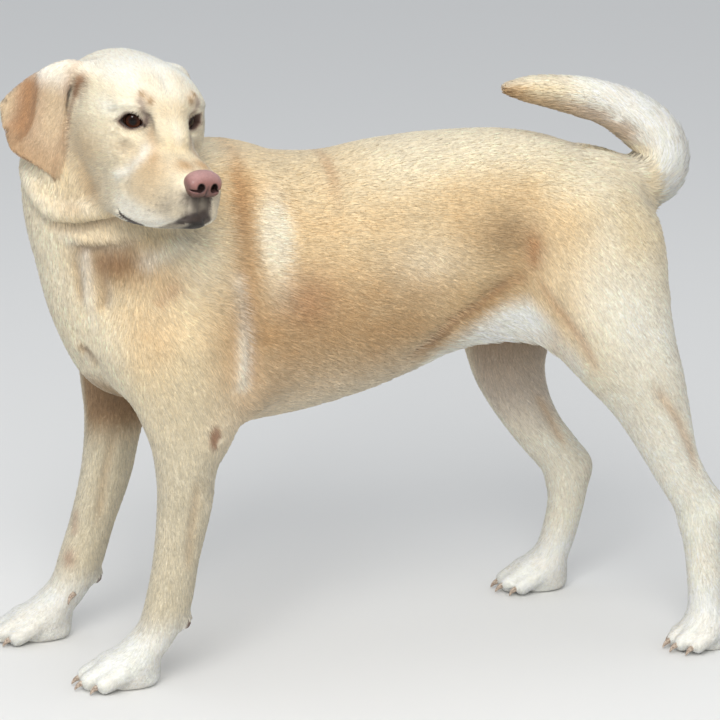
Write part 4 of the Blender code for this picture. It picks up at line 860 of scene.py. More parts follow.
def coat_colour(p, n, kind):
    """The coat's colour at points of the skin, with painted light and shade in places; kind tells head, ear, tail,
    foot, and the rest.
    """
    q = in_head(p)
    x, y, z = p[:, 0], p[:, 1], p[:, 2]
    s, hold = both(p)
    big = value_noise(p, 14, 3)
    mid = value_noise(p, 45, 5)
    fine = value_noise(p, 130, 8)
    c = np.broadcast_to(CREAM, (len(p), 3)).copy()

    def paint(colour, amount):
        nonlocal c
        a = np.clip(amount, 0, 1)[:, None]
        c = c * (1 - a) + colour * a

    # trunk: pale along the back, gold on the sides, dun toward the belly; the paler top-facing coat is partly painted
    # light and the darker lower flank partly painted shade
    body = ramp(x, -0.23, -0.14) * (1 - ramp(x, 0.14, 0.21))
    flat = 1 - ramp(n[:, 2], 0.45, 0.85)
    paint(PALE, 0.55 * ramp(n[:, 2], 0.45, 0.95) * (1 - 0.8 * ramp(x, -0.06, 0.04) * (1 - ramp(x, 0.12, 0.18))))
    paint(GOLD, (0.30 + 0.15 * mid) * ramp(x, -0.02, 0.05) * ramp(z, 0.50, 0.53) * (1 - ramp(x, 0.13, 0.20)))
    paint(GOLD, (0.50 + 0.20 * mid + 0.15 * big) * body * flat)
    paint(PALE, 0.55 * hold * spot(s, (-0.045, 0.113, 0.455), (0.045, 0.060, 0.030)))
    paint(TAN, (0.70 + 0.15 * mid) * body * flat * (1 - ramp(z, 0.385, 0.490)) * (1 - 0.75 * ramp(-x, 0.01, 0.10)))
    # bands at the shoulder
    paint(TAN, 0.85 * hold * spot(s, (0.145, 0.086, 0.525), (0.0125, 0.090, 0.062)))
    paint(RUSSET, 0.35 * hold * spot(s, (0.145, 0.084, 0.528), (0.007, 0.090, 0.050)))
    paint(TAN, 0.60 * hold * spot(s, (0.147, 0.095, 0.440), (0.012, 0.060, 0.050)))
    paint(lin(250, 243, 224), 0.74 * hold * (ramp(spot(s, (0.112, 0.104, 0.4915), (0.0215, 0.090, 0.050)), 0.06, 0.85)))
    paint(PALE, 0.35 * hold * spot(s, (0.110, 0.110, 0.440), (0.018, 0.080, 0.030)))
    paint(lin(250, 245, 230), (0.48 + 0.26 * (1 - ramp(z, 0.355, 0.430))) * hold * stripe(s * (1, 0, 1), [(0.1516, 0, 0.4480), (0.1465, 0, 0.4064), (0.1460, 0, 0.3660), (0.1480, 0, 0.3400)], 0.0085) * (1 - ramp(n[:, 2], 0.5, 0.9)) * (s[:, 1] > 0.06))
    paint(RUSSET, 0.45 * hold * spot(s, (0.045, 0.040, 0.543), (0.007, 0.070, 0.030)))
    paint(lin(176, 126, 92), 0.45 * hold * spot(s, (0.082, 0.112, 0.425), (0.030, 0.050, 0.030)))
    paint(PALE, 0.75 * hold * spot(s, (0.190, 0.097, 0.480), (0.034, 0.050, 0.050)))
    # flank: dun above the crease before the thigh, russet in it and tan down the fold toward the belly, the crease
    # colours painted shade; gold beside the fold
    paint(DUN, 0.72 * hold * spot(s, (-0.137, 0.098, 0.477), (0.040, 0.070, 0.030)))
    paint(RUSSET, 0.55 * hold * spot(s, (-0.164, 0.103, 0.462), (0.012, 0.050, 0.022)))
    paint(TAN, 0.30 * hold * stripe(s, [(-0.150, 0.100, 0.440), (-0.090, 0.088, 0.375), (-0.030, 0.085, 0.335)], 0.016))
    paint(GOLD, 0.60 * hold * spot(s, (-0.105, 0.100, 0.415), (0.030, 0.050, 0.022)))
    # belly and flank web
    web = np.interp(-x, [0.020, 0.027, 0.046, 0.076, 0.098, 0.130, 0.148, 0.162, 0.180, 0.211, 0.235], [0.325, 0.336, 0.353, 0.383, 0.395, 0.414, 0.420, 0.424, 0.406, 0.362, 0.318])
    paint(WHITE, 0.95 * hold * ramp(-x, 0.010, 0.060) * (1 - ramp(-x, 0.212, 0.235)) * (1 - ramp(z - web, -0.030, -0.001)) * ramp(n[:, 1] * np.sign(y), -0.2, 0.3) * (1 - kind['hind_right']))
    paint(PALE, 0.45 * ramp(-n[:, 2], 0.3, 0.9) * (1 - ramp(z, 0.36, 0.42)) * ramp(x, -0.26, -0.20) * (1 - ramp(x, 0.05, 0.15)))
    # rump and thigh
    paint(WHITE, 0.75 * hold * spot(s, (-0.252, 0.120, 0.405), (0.050, 0.060, 0.065)))
    paint(PALE, 0.60 * ramp(-x, 0.20, 0.25) * (1 - ramp(z, 0.46, 0.54)))
    paint(WHITE, 0.55 * ramp(-x, 0.22, 0.27) * (1 - ramp(z, 0.36, 0.44)) * (y > 0))
    paint(GOLD, 0.30 * hold * spot(s, (-0.205, 0.108, 0.490), (0.030, 0.060, 0.035)))
    # chest and legs
    paint(GOLD, (0.25 + 0.30 * mid) * ramp(x, 0.20, 0.24) * ramp(z, 0.33, 0.38) * (1 - ramp(z, 0.40, 0.46)) * ramp(n[:, 1], 0.5, 0.9))
    paint(PALE, 0.55 * ramp(n[:, 0], 0.35, 0.8) * ramp(x, 0.24, 0.29) * (1 - ramp(z, 0.48, 0.54)))
    paint(PALE, 0.62 * (1 - ramp(z, 0.26, 0.40)))
    paint(GOLD, 0.45 * hold * spot(s, (-0.190, 0.11, 0.330), (0.016, 0.05, 0.075)))
    # painted shadow: brown on the inner side of the right hind thigh, under the belly
    paint(BROWN, 0.70 * (y < 0) * ramp(n[:, 1], 0.0, 0.7) * ramp(-x, 0.12, 0.16) * ramp(z, 0.18, 0.26) * (1 - ramp(z, 0.40, 0.46)))
    low = 1 - ramp(z, 0.22, 0.36)
    paint(WHITE, 0.42 * low * (kind['hind_left'] + kind['hind_right']))
    # greyer cream on the lower forelegs, less where they face forward: paler coat with painted shade
    paint(lin(200, 192, 170), low * (0.58 - 0.12 * ramp(n[:, 0], 0.2, 0.8)) * (kind['fore_left'] + kind['fore_right']))
    # tan along the legs' long hollows: painted shade in the grooves
    for line, depth, width, sign in HOLLOWS:
        m, along = line_distance(p * (1, 0, 1), np.array([(a, 0.0, b) for a, b in line]))
        paint(TAN, (0.44 if depth > 0.004 else 0.26) * bell(m, width) * ramp(along, -0.02, 0.25) * (1 - ramp(along, 0.75, 1.02)) * (y * sign > 0.04))
    paint(lin(166, 124, 104), 0.60 * spot(p, (0.3017, -0.0713, 0.1003), (0.0080, 0.0110, 0.0120)) * (y < 0))
    paint(lin(172, 132, 110), 0.50 * stripe(p, [(0.2950, -0.0750, 0.1300), (0.2930, -0.0800, 0.1500)], 0.0050) * (y < 0))
    paint(WHITE, 0.92 * (1 - ramp(z, 0.05, 0.10)))
    paint(BROWN, 0.85 * spot(p, (0.3018, 0.0486, 0.3711), (0.006, 0.008, 0.006)))
    paint(lin(146, 104, 78), 0.85 * ramp(spot(s, (0.1795, 0.1240, 0.2900), (0.0075, 0.0140, 0.0150)), 0.10, 0.80) * (y > 0))
    paint(BROWN, 0.60 * spot(p, (0.215, -0.118, 0.287), (0.010, 0.012, 0.014)))
    for pad in WRIST_PADS.values():
        paint(lin(92, 66, 54), 0.95 * ramp(spot(p, np.asarray(pad) - (0.006, 0, 0.002), (0.010, 0.010, 0.011)), 0.2, 0.5))
    for hock in ('hind_left', 'hind_right'):
        paint(GOLD, 0.35 * spot(p, POINTS[hock][0], (0.014, 0.014, 0.020)))
    # neck: pale at the throat's edge; dun, brown and tan under the jaw, the coat's tone with the head's shadow painted
    # in; white and pale on the rolls, paler fur with painted light on their tops
    neck = kind['neck']
    paint(PALE, 0.45 * neck * ramp(n[:, 0], 0.4, 0.8))
    # painted shadow of the head under the jaw, over dun and tan coat
    paint(DUN, (0.95 + 0.15 * mid) * spot(p, (0.268, 0.076, 0.466), (0.036, 0.050, 0.028)))
    paint(BROWN, 0.60 * spot(p, (0.274, 0.074, 0.468), (0.026, 0.050, 0.016)))
    paint(TAN, 0.35 * spot(p, (0.225, 0.088, 0.452), (0.030, 0.050, 0.018)))
    paint(WHITE, 0.45 * stripe(p, [(0.2400, 0.0850, 0.4700), (0.2218, 0.0894, 0.4792), (0.2065, 0.0901, 0.4889)], 0.010))
    # painted light on the tops of the throat's rolls, over paler fur
    paint(WHITE, 0.35 * stripe(p, [r[:3] for r in ROLLS[0][2:6]], 0.020) * ramp(n[:, 2], -0.45, 0.30))
    paint(PALE, 0.50 * stripe(p, [r[:3] for r in ROLLS[1][1:]], 0.013))
    # shaded patches of the neck, chest and tail
    paint(DUN, 0.45 * spot(p, (0.3035, 0.0594, 0.4764), (0.018, 0.014, 0.012)))
    paint(DUN, 0.32 * spot(p, (0.3139, 0.0672, 0.5255), (0.014, 0.014, 0.009)))
    paint(lin(190, 160, 120), 0.30 * hold * spot(s, (0.2423, 0.1116, 0.4027), (0.035, 0.050, 0.035)))
    paint(lin(200, 190, 165), 0.35 * hold * spot(s, (0.2055, 0.1297, 0.3318), (0.030, 0.050, 0.045)))
    paint(WHITE, 0.50 * spot(p, (-0.3153, 0.0365, 0.5078), (0.022, 0.022, 0.014)))
    # folds of the neck and flank, darkened along their creases with painted shade
    for i, (crease_shade, amount) in {6: (DARK, 0.70), 7: (DARK, 0.85), 4: (RUSSET, 0.60), 11: (DARK, 0.75), 12: (RUSSET, 1.0), 13: (lin(162, 118, 78), 0.95), 15: (RUSSET, 0.60), 2: (BROWN, 0.45), 0: (TAN, 0.55), 18: (DARK, 0.92), 19: (DARK, 0.85)}.items():
        line, depth, width, twice = FOLDS[i]
        a = s if twice else p
        m, along = line_distance(a, np.asarray(line, float))
        amount = amount * ramp(along, 0.0, 0.18) * (1 - ramp(along, 0.78, 1.0))
        paint(crease_shade, amount * (hold if twice else 1.0) * bell(m, width * (1.25 if width < 0.006 else 0.85)))
    paint(WHITE, 0.46 * stripe(p, [(0.2990, 0.0605, 0.474), (0.2960, 0.0640, 0.435), (0.2960, 0.0660, 0.405)], 0.0062))
    paint(lin(112, 84, 60), 0.80 * spot(p, (0.2985, 0.0520, 0.3700), (0.0050, 0.0080, 0.0060)))
    paint(WHITE, 0.55 * spot(p, (0.3010, 0.0480, 0.3615), (0.0060, 0.0080, 0.0050)))
    # painted shade: dun and brown on the chest between the forelegs and on the far foreleg's inner side
    paint(DUN, 0.85 * (y < 0.06) * ramp(x, 0.18, 0.22) * (1 - ramp(z, 0.325, 0.350)) * ramp(z, 0.215, 0.265) * ramp(n[:, 1], -0.3, 0.5))
    paint(BROWN, 0.50 * (y < 0.03) * ramp(x, 0.18, 0.22) * (1 - ramp(z, 0.300, 0.340)) * ramp(z, 0.235, 0.275) * ramp(n[:, 1], 0.0, 0.7))
    # tail
    tail = kind['tail']
    paint(WHITE, 0.9 * tail * (1 - ramp(x, -0.26, -0.18)))
    under = ramp(-n[:, 2], 0.0, 0.60) * ramp(x, -0.325, -0.300) * ramp(z, 0.535, 0.550)
    paint(CREAM, 0.70 * tail * ramp(x, -0.285, -0.205))
    paint(TAN, 0.62 * tail * under)
    paint(TAN, 0.75 * tail * ramp(x, -0.205, -0.170))
    paint(PALE, 0.55 * tail * ramp(n[:, 2], 0.3, 0.9) * ramp(x, -0.26, -0.20))
    paint(CREAM, 0.85 * (1 - ramp(-x, 0.312, 0.332)) * ramp(-x, 0.240, 0.270) * (1 - ramp(z, 0.535, 0.552)) * ramp(z, 0.430, 0.475) * (1 - 0.5 * ramp(n[:, 2], 0.4, 0.9)))

    # head
    hw = kind['head']
    hs = q.copy()
    hs[:, 1] = np.abs(hs[:, 1])
    paint(PALE, 0.85 * hw)
    paint(WHITE, 0.75 * hw * ramp(q[:, 2], 0.020, 0.040))
    paint(CREAM, 0.45 * hw * spot(hs, (0.000, 0.016, 0.038), (0.022, 0.016, 0.020)))
    paint(GOLD, 0.50 * hw * spot(hs, (0.016, 0.006, 0.014), (0.014, 0.010, 0.010)))
    paint(WHITE, 0.60 * hw * spot(hs, (-0.010, 0.050, 0.010), (0.018, 0.014, 0.010)))
    paint(WHITE, 0.60 * hw * spot(hs, (0.002, 0.037, 0.017), (0.012, 0.008, 0.006)))
    paint(CREAM, 0.85 * hw * spot(hs, (0.055, 0.004, -0.012), (0.042, 0.020, 0.020)))
    paint(WHITE, 0.45 * hw * spot(hs, (0.036, 0.000, -0.004), (0.014, 0.006, 0.010)))
    paint(TAN, 0.95 * hw * spot(hs, (0.085, 0.010, -0.015), (0.015, 0.013, 0.011)))
    paint(GOLD, 0.78 * hw * (1 + 0.25 * mid) * spot(hs, (0.052, 0.030, -0.042), (0.036, 0.018, 0.028)))
    paint(TAN, 0.30 * hw * spot(hs, (0.050, 0.027, -0.026), (0.022, 0.010, 0.009)))
    paint(TAN, 0.50 * hw * stripe(hs, [(0.0200, 0.0190, -0.0020), (0.0330, 0.0215, -0.0120), (0.0480, 0.0250, -0.0220)], 0.0060))
    paint(GREY_SKIN, 0.34 * hw * stripe(hs, [(0.0980, 0.0190, -0.0480), (0.0900, 0.0250, -0.0600)], 0.0110))
    paint(TAN, 0.62 * hw * spot(hs, (0.0110, 0.0285, 0.0290), (0.0052, 0.0052, 0.0052)))
    paint(lin(150, 116, 76), 0.60 * hw * spot(hs, (0.0105, 0.0290, 0.0290), (0.0032, 0.0034, 0.0034)))
    paint(TAN, 0.62 * hw * spot(hs, (0.0165, 0.0215, 0.0250), (0.0052, 0.0052, 0.0052)))
    paint(lin(150, 116, 76), 0.60 * hw * spot(hs, (0.0175, 0.0210, 0.0235), (0.0032, 0.0032, 0.0034)))
    paint(lin(150, 126, 116), 0.70 * hw * stripe(hs, [(0.0140, 0.0310, 0.0240), (0.0165, 0.0270, 0.0150), (0.0160, 0.0215, 0.0060)], 0.0040))
    # painted shade: dun in the hollow under the eye
    paint(DUN, 0.42 * hw * spot(hs, (0.0130, 0.0405, -0.0235), (0.0095, 0.0090, 0.0080)))
    paint(lin(108, 84, 78), 0.38 * hw * spot(hs, (0.0168, 0.0228, 0.0078), (0.0042, 0.0048, 0.0062)))
    paint(WHITE, 0.62 * hw * stripe(hs, [(0.0325, 0.0280, -0.0190), (0.0340, 0.0305, -0.0280), (0.0270, 0.0345, -0.0400), (0.0200, 0.0385, -0.0480), (0.0120, 0.0415, -0.0530)], 0.0072))
    paint(WHITE, 0.60 * hw * ramp(-q[:, 2], 0.060, 0.078) * ramp(q[:, 0], 0.00, 0.03))
    # grey-tan on the front of the chin: a duller tone with painted shade under the lip
    paint(lin(140, 124, 98), 0.75 * hw * ramp(q[:, 0], 0.058, 0.072) * ramp(-q[:, 2], 0.0700, 0.0745) * (1 - ramp(hs[:, 1], 0.0185, 0.0235)))
    paint(GOLD, 0.80 * hw * (1 - ramp(q[:, 0], -0.062, -0.020)) * ramp(-q[:, 2], 0.036, 0.080))
    # painted shade: tan low on the cheek under the ear
    paint(TAN, 0.45 * hw * spot(hs, (-0.045, 0.050, -0.085), (0.028, 0.030, 0.016)))
    paint(GOLD, (0.35 + 0.25 * mid) * hw * ramp(-q[:, 2], 0.0, 0.03) * (1 - ramp(q[:, 0], -0.03, 0.015)))
    # whisker beds
    for i, (wx, wz) in enumerate([(0.088, -0.050), (0.080, -0.052), (0.072, -0.053), (0.086, -0.058), (0.078, -0.060), (0.070, -0.061), (0.084, -0.066), (0.076, -0.068), (0.068, -0.069)]):
        wy = 0.0275 + 0.002 * (i % 3)
        r = np.hypot(hs[:, 0] - wx, hs[:, 2] - wz)
        paint(GREY_SKIN, 0.45 * hw * bell(r, 0.0012) * (hs[:, 1] > 0.012))
    # bare dark lips and the leather under the nose
    m, t = line_distance(hs * ACROSS, MOUTH * ACROSS)
    width = lerp(0.0040, 0.0016, ramp(t, 0.30, 0.44)) * ramp(t, -0.05, 0.06) + 0.0022 * ramp(t, 0.72, 0.95)
    paint(LIP, 0.97 * hw * (1 - ramp(m, width * 0.75, width * 1.25)))
    front = ramp(q[:, 0], 0.090, 0.100) * (1 - ramp(-q[:, 2], 0.067, 0.071)) * ramp(-q[:, 2], 0.034, 0.041)
    paint(GREY_SKIN, (0.62 + 0.38 * fine) * hw * front * ramp(q[:, 1], -0.0230, -0.0100) * (1 - ramp(q[:, 1], 0.0125, 0.0150)))
    paint(LIP, (0.85 + 0.15 * fine) * hw * front * ramp(q[:, 1] + 0.30 * (q[:, 2] + 0.055), -0.0140, -0.0030) * (1 - ramp(q[:, 1], 0.0105, 0.0130)))
    paint(LIP, 0.60 * hw * ramp(q[:, 0], 0.084, 0.096) * ramp(-q[:, 2], 0.0540, 0.0640) * (1 - ramp(-q[:, 2], 0.0660, 0.0690)) * (1 - ramp(hs[:, 1], 0.0120, 0.0180)))
    paint(lin(34, 28, 25), 0.95 * hw * ramp(q[:, 0], 0.086, 0.092) * ramp(-q[:, 2], 0.0655, 0.0690) * ramp(q[:, 1], -0.0100, -0.0040) * (1 - ramp(q[:, 1], 0.0100, 0.0130)))
    # rims of the lids and the dark skin at their corners
    for side in ('left', 'right'):
        w = (q - EYE_C[side]) @ EYE_AX[side]
        a = almond(w[:, 1], w[:, 2])
        paint(lin(128, 98, 84), 0.70 * hw * (1 - ramp(a, 0.0012, 0.0034)) * (w[:, 0] > 0) * (np.abs(w[:, 1]) < 0.0175))
        paint(lin(84, 60, 52), 0.92 * hw * (1 - ramp(a, 0.0002, 0.0014)) * (w[:, 0] > 0) * (np.abs(w[:, 1]) < 0.0165))
        paint(lin(128, 102, 98), 0.85 * hw * spot(w, (0.006, 0.0148, 0.0030), (0.007, 0.0044, 0.0105)))
        paint(LIP, 0.85 * hw * spot(w, (0.006, 0.0132, -0.0036), (0.008, 0.0026, 0.0026)))
        paint(lin(84, 60, 52), 0.85 * hw * spot(w, (0.006, -0.0138, -0.0030), (0.008, 0.0040, 0.0013)))
    # ears: tan flaps, pink on the inner side, white along the top, tan toward the tip; painted shade in russet and
    # brown behind the fold, along it, down the rolled front edge and in the hollow at the front root; painted light in
    # the cream before the fold and on the rear rim; on the head, a brown stripe along each flap's front edge is painted
    # shadow of the flap
    for side in ('left', 'right'):
        es, et, en = ear_place(p, side)
        k = kind['ear_' + side]
        outer = ramp(en, -0.003, 0.001)
        crease = es - ear_fold(et)[0]
        paint(EAR_TAN, 0.92 * k)
        paint(RUSSET, 0.80 * k * outer * ramp(crease, -0.001, 0.002) * (1 - 0.7 * ramp(crease, 0.012, 0.030)) * ramp(et, 0.016, 0.034) * (1 - ramp(et, 0.078, 0.100)))
        paint(CREAM, 0.50 * k * outer * ramp(crease, 0.022, 0.036))
        paint(BROWN, 0.45 * k * outer * bell(crease - 0.003, 0.0035) * ramp(et, 0.020, 0.040) * (1 - ramp(et, 0.085, 0.105)))
        paint(CREAM, 0.45 * k * outer * bell(crease + 0.018, 0.014) * (1 - ramp(et, 0.06, 0.10)))
        paint(BROWN, 0.25 * k * outer * bell(crease - 0.004, 0.008) * ramp(et, 0.070, 0.085) * (1 - ramp(et, 0.098, 0.110)))
        paint(WHITE, 0.90 * k * outer * (1 - ramp(et, 0.008, 0.038)) * (1 - 0.7 * ramp(crease, 0.000, 0.008)))
        paint(PALE, 0.55 * k * outer * (1 - ramp(et, 0.004, 0.020)))
        paint(TAN, 0.45 * k * ramp(et, 0.075, 0.105))
        paint(RUSSET, 0.85 * k * spot(np.stack([es, et, en * 0], 1), (0.004, 0.014, 0), (0.009, 0.020, 1)))
        paint(BROWN, 0.45 * k * bell(es - 0.002, 0.0035) * ramp(et, 0.02, 0.04))
        paint(PINK, 0.55 * k * (1 - ramp(en, -0.004, -0.001)))
        m_ = 1.0 if side == 'left' else -1.0
        # painted shadow of the flap on the head, along its front edge
        ear_shadow_line = [(-0.0560, 0.0635 * m_, 0.0215), (-0.0595, 0.0655 * m_, 0.0110), (-0.0625, 0.0650 * m_, 0.0010), (-0.0635, 0.0650 * m_, -0.0400), (-0.0620, 0.0600 * m_, -0.0700)]
        mr, tr = line_distance(q, np.array(ear_shadow_line))
        paint(lin(146, 96, 56), lerp(0.97, 0.55, ramp(tr, 0.35, 0.60)) * np.clip(1.6 * (hw + k), 0, 1) * bell(mr, lerp(0.0080, 0.0040, ramp(tr, 0.35, 0.60))) * (1 - ramp(tr, 0.90, 1.0)))
    # broken tone
    c = c * (1 + 0.035 * big + 0.045 * mid + 0.040 * fine)[:, None]
    return np.clip(c, 0.0, 0.95)


# ---------------------------------------------------------------- which part a point is on, and the lie of the coat
LIMBS = {'fore_left': FORE_L, 'fore_right': FORE_R, 'hind_left': HIND_L, 'hind_right': HIND_R, 'tail': TAIL, 'trunk': TRUNK, 'neck': NECK}
PARTS = ['trunk', 'neck', 'fore_left', 'fore_right', 'hind_left', 'hind_right', 'fore_left_paw', 'fore_right_paw',
         'hind_left_paw', 'hind_right_paw', 'tail', 'head', 'ear_left', 'ear_right']


def part_weights(p):
    """How far each point belongs to each part, melting over about a centimetre."""
    d = {name: np.full(len(p), 1.0) for name in PARTS}
    alias = {'chest': 'trunk', 'throat': 'neck', 'wrist_pads': None}
    for g in GROUPS:
        name = alias.get(g.name, g.name)
        if name is None:
            continue
        lo, hi = g.box()
        inside = np.nonzero(np.all((p > lo - 0.06) & (p < hi + 0.06), axis=1))[0]
        if len(inside):
            e = g.distance(p[inside], 0.06)
            d[name][inside] = np.minimum(d[name][inside], e)
    m = np.stack([d[n] for n in PARTS], 1)
    m = m - m.min(1, keepdims=True)
    w = np.exp(-m / np.where(np.isin(PARTS, ['ear_left', 'ear_right']), 0.0008, 0.009))
    return w / w.sum(1, keepdims=True)


def along(rows, p):
    """Place along a limb's axis from 0 to 1, the axis direction there, and the angle round it."""
    c = np.asarray([r[:3] for r in rows], float)
    m, t = line_distance(p, c)
    f = t * (len(c) - 1)
    i = np.minimum(f.astype(int), len(c) - 2)
    tang = unit(np.gradient(c, axis=0))
    s = (f - i)[:, None]
    d = unit(tang[i] * (1 - s) + tang[i + 1] * s)
    w = p - (c[i] + (c[i + 1] - c[i]) * s)
    hint = np.array((1.0, 0.0, 0.0)) if abs(tang[0][2]) > 0.5 else np.array((0.0, 0.0, 1.0))
    u = unit(np.cross(np.broadcast_to(hint, d.shape), d))
    v = np.cross(d, u)
    return t, d, np.arctan2((w * u).sum(1), (w * v).sum(1))


def lie(p, n, w):
    """The direction in which the coat lies."""
    out = np.zeros((len(p), 3))
    q = in_head(p)
    x, y, z = p[:, 0], p[:, 1], p[:, 2]
    k = {name: w[:, i:i + 1] for i, name in enumerate(PARTS)}
    side = ramp(np.abs(n[:, 1]), 0.2, 0.9)
    body = np.stack([-np.ones(len(p)), 0 * x, -0.12 - 0.28 * side], 1)
    front = ramp(x, 0.170, 0.250)[:, None]
    body = lerp(body, np.array((-0.25, 0.0, -1.0)), front)
    rear = ramp(-x, 0.190, 0.290)[:, None]
    body = lerp(body, np.array((-0.50, 0.0, -1.0)), rear)
    low = (ramp(x, 0.08, 0.16) * (1 - ramp(z, 0.36, 0.44)))[:, None]
    body = lerp(body, np.array((-0.6, 0.0, -0.8)), low * (1 - front))
    out += body * k['trunk']
    t, d, a = along(NECK, p)
    out += (-d + np.array((-0.45, 0, 0)) * ramp(-n[:, 0], -0.3, 0.5)[:, None]) * k['neck']
    for name in ('fore_left', 'fore_right', 'hind_left', 'hind_right', 'tail'):
        t, d, a = along(LIMBS[name], p)
        if name == 'tail':
            d = d + np.array((0, 0, -0.25)) * (ramp(-n[:, 2], 0.0, 0.8) * (1 - ramp(x, -0.20, -0.18)))[:, None]
        else:
            d = d + np.array((-0.18, 0, 0))
        out += d * k[name]
    for name in ('fore_left_paw', 'fore_right_paw', 'hind_left_paw', 'hind_right_paw'):
        ax = turn(PAWS[name[:-4]][2])
        out += (ax @ np.array((0.9, 0, -0.5))) * k[name]
    ay = np.tanh(q[:, 1] / 0.012)
    back = ramp(-q[:, 0], -0.03, 0.05)
    h = np.stack([-np.ones(len(p)), 0.22 * ay * ramp(q[:, 0], -0.02, 0.03), -0.10 - 0.40 * ramp(-q[:, 2], 0.0, 0.05)], 1)
    out += (h @ HM.T) * k['head']
    for name in ('left', 'right'):
        ax = ear_axes(name)
        out += ((ax @ np.array((0.20, 1.0, 0.0))) @ HM.T) * k['ear_' + name]
    wave = np.stack([value_noise(p, 28, 21), value_noise(p, 28, 22), value_noise(p, 28, 23)], 1)
    out = unit(out + 1e-9) + 0.22 * wave
    out -= n * (out * n).sum(1, keepdims=True)
    return unit(out + 1e-9)


def bare(p, q):
    """Where no hair grows: round the eyes, on the nose, the lips, the wrist pads and the soles."""
    out = np.zeros(len(p), bool)
    for side in ('left', 'right'):
        w = (q - EYE_C[side]) @ EYE_AX[side]
        out |= (almond(w[:, 1], w[:, 2]) < 0.0012) & (w[:, 0] > -0.002) & (np.abs(w[:, 1]) < 0.016)
        out |= np.linalg.norm(w, axis=1) < EYE_RADIUS + 0.0006
    out |= np.linalg.norm((q - NOSE_AT) / (NOSE_HALF + 0.0010), axis=1) < 1.0
    s = np.stack([q[:, 0], np.abs(q[:, 1]), q[:, 2]], 1)
    m, t = line_distance(s * ACROSS, MOUTH * ACROSS)
    out |= m < 0.0016 + 0.0012 * (1 - ramp(t, 0.30, 0.42)) + 0.0012 * ramp(t, 0.7, 0.95)
    out |= (q[:, 0] > 0.099) & (np.abs(q[:, 1]) < 0.0105) & (q[:, 2] < -0.034) & (q[:, 2] > -0.068)
    out |= p[:, 2] < 0.0012
    for pad in WRIST_PADS.values():
        out |= np.linalg.norm(p - pad, axis=1) < 0.0085
    out |= np.linalg.norm(p - (0.1760, 0.1180, 0.287), axis=1) < 0.0075
    return out


# ---------------------------------------------------------------- an unwrap of the skin's own shape
CELLS = {  # left, bottom, width, height on the map
    'trunk': (0.00, 0.50, 0.60, 0.50), 'neck': (0.60, 0.75, 0.40, 0.25), 'head': (0.60, 0.40, 0.40, 0.35),
    'tail': (0.00, 0.36, 0.60, 0.14), 'fore_left': (0.00, 0.18, 0.25, 0.18), 'fore_right': (0.25, 0.18, 0.25, 0.18),
    'hind_left': (0.00, 0.00, 0.25, 0.18), 'hind_right': (0.25, 0.00, 0.25, 0.18), 'ear_left': (0.50, 0.00, 0.25, 0.18),
    'ear_right': (0.75, 0.00, 0.25, 0.18), 'fore_left_paw': (0.60, 0.18, 0.10, 0.11), 'fore_right_paw': (0.70, 0.18, 0.10, 0.11),
    'hind_left_paw': (0.80, 0.18, 0.10, 0.11), 'hind_right_paw': (0.90, 0.18, 0.10, 0.11)}


def unwrap(p, part):
    """Place of each root on the map: round and along each part."""
    u, v = np.zeros(len(p)), np.zeros(len(p))
    q = in_head(p)
    for i, name in enumerate(PARTS):
        m = part == i
        if not m.any():
            continue
        if name in LIMBS:
            t, d, a = along(LIMBS[name], p[m])
            uu, vv = a / (2 * pi) + 0.5, t
        elif name == 'head':
            uu = np.arctan2(q[m, 1], q[m, 2] + 0.035) / (2 * pi) + 0.5
            vv = (q[m, 0] + 0.13) / 0.26
        elif name.startswith('ear'):
            s, t, n = ear_place(p[m], name[4:])
            uu = np.where(n > 0, 0.02 + (s + 0.01) / 0.11 * 0.46, 0.52 + (s + 0.01) / 0.11 * 0.46)
            vv = (t + 0.02) / 0.16
        else:
            x0, y0, yaw, sc = PAWS[name[:-4]]
            w = (p[m] - (x0, y0, 0)) @ turn(yaw)
            uu = np.arctan2(w[:, 1], w[:, 2] - 0.012) / (2 * pi) + 0.5
            vv = (w[:, 0] + 0.05) / 0.11
        l, b, ww, hh = CELLS[name]
        u[m] = l + 0.004 + np.clip(uu, 0, 1) * (ww - 0.008)
        v[m] = b + 0.004 + np.clip(vv, 0, 1) * (hh - 0.008)
    return u, v


# ---------------------------------------------------------------- making meshes
def mesh_object(name, pts, faces, smooth=True):
    me = bpy.data.meshes.new(name)
    faces = np.asarray(faces, np.int32)
    k = faces.shape[1]
    me.vertices.add(len(pts))
    me.vertices.foreach_set('co', np.asarray(pts, np.float32).ravel())
    me.loops.add(faces.size)
    me.loops.foreach_set('vertex_index', faces.ravel())
    me.polygons.add(len(faces))
    me.polygons.foreach_set('loop_start', np.arange(0, faces.size, k, dtype=np.int32))
    me.update(calc_edges=True)
    me.polygons.foreach_set('use_smooth', np.full(len(faces), smooth))
    me.validate()
    ob = bpy.data.objects.new(name, me)
    bpy.context.scene.collection.objects.link(ob)
    return ob


def colour_points(ob, colours, name='Tone'):
    a = ob.data.color_attributes.new(name, 'FLOAT_COLOR', 'POINT')
    c = np.ones((len(ob.data.vertices), 4), np.float32)
    c[:, :3] = colours
    a.data.foreach_set('color', c.ravel())


def node(tree, kind, at=(0, 0), **props):
    n = tree.nodes.new(kind)
    n.location = at
    for k, v in props.items():
        setattr(n, k, v)
    return n


def plain_material(name, rough=0.6, colour=(0.8, 0.8, 0.8)):
    m = bpy.data.materials.new(name)
    m.use_nodes = True
    b = m.node_tree.nodes['Principled BSDF']
    b.inputs['Roughness'].default_value = rough
    b.inputs['Base Color'].default_value = (*colour, 1)
    return m, m.node_tree, b


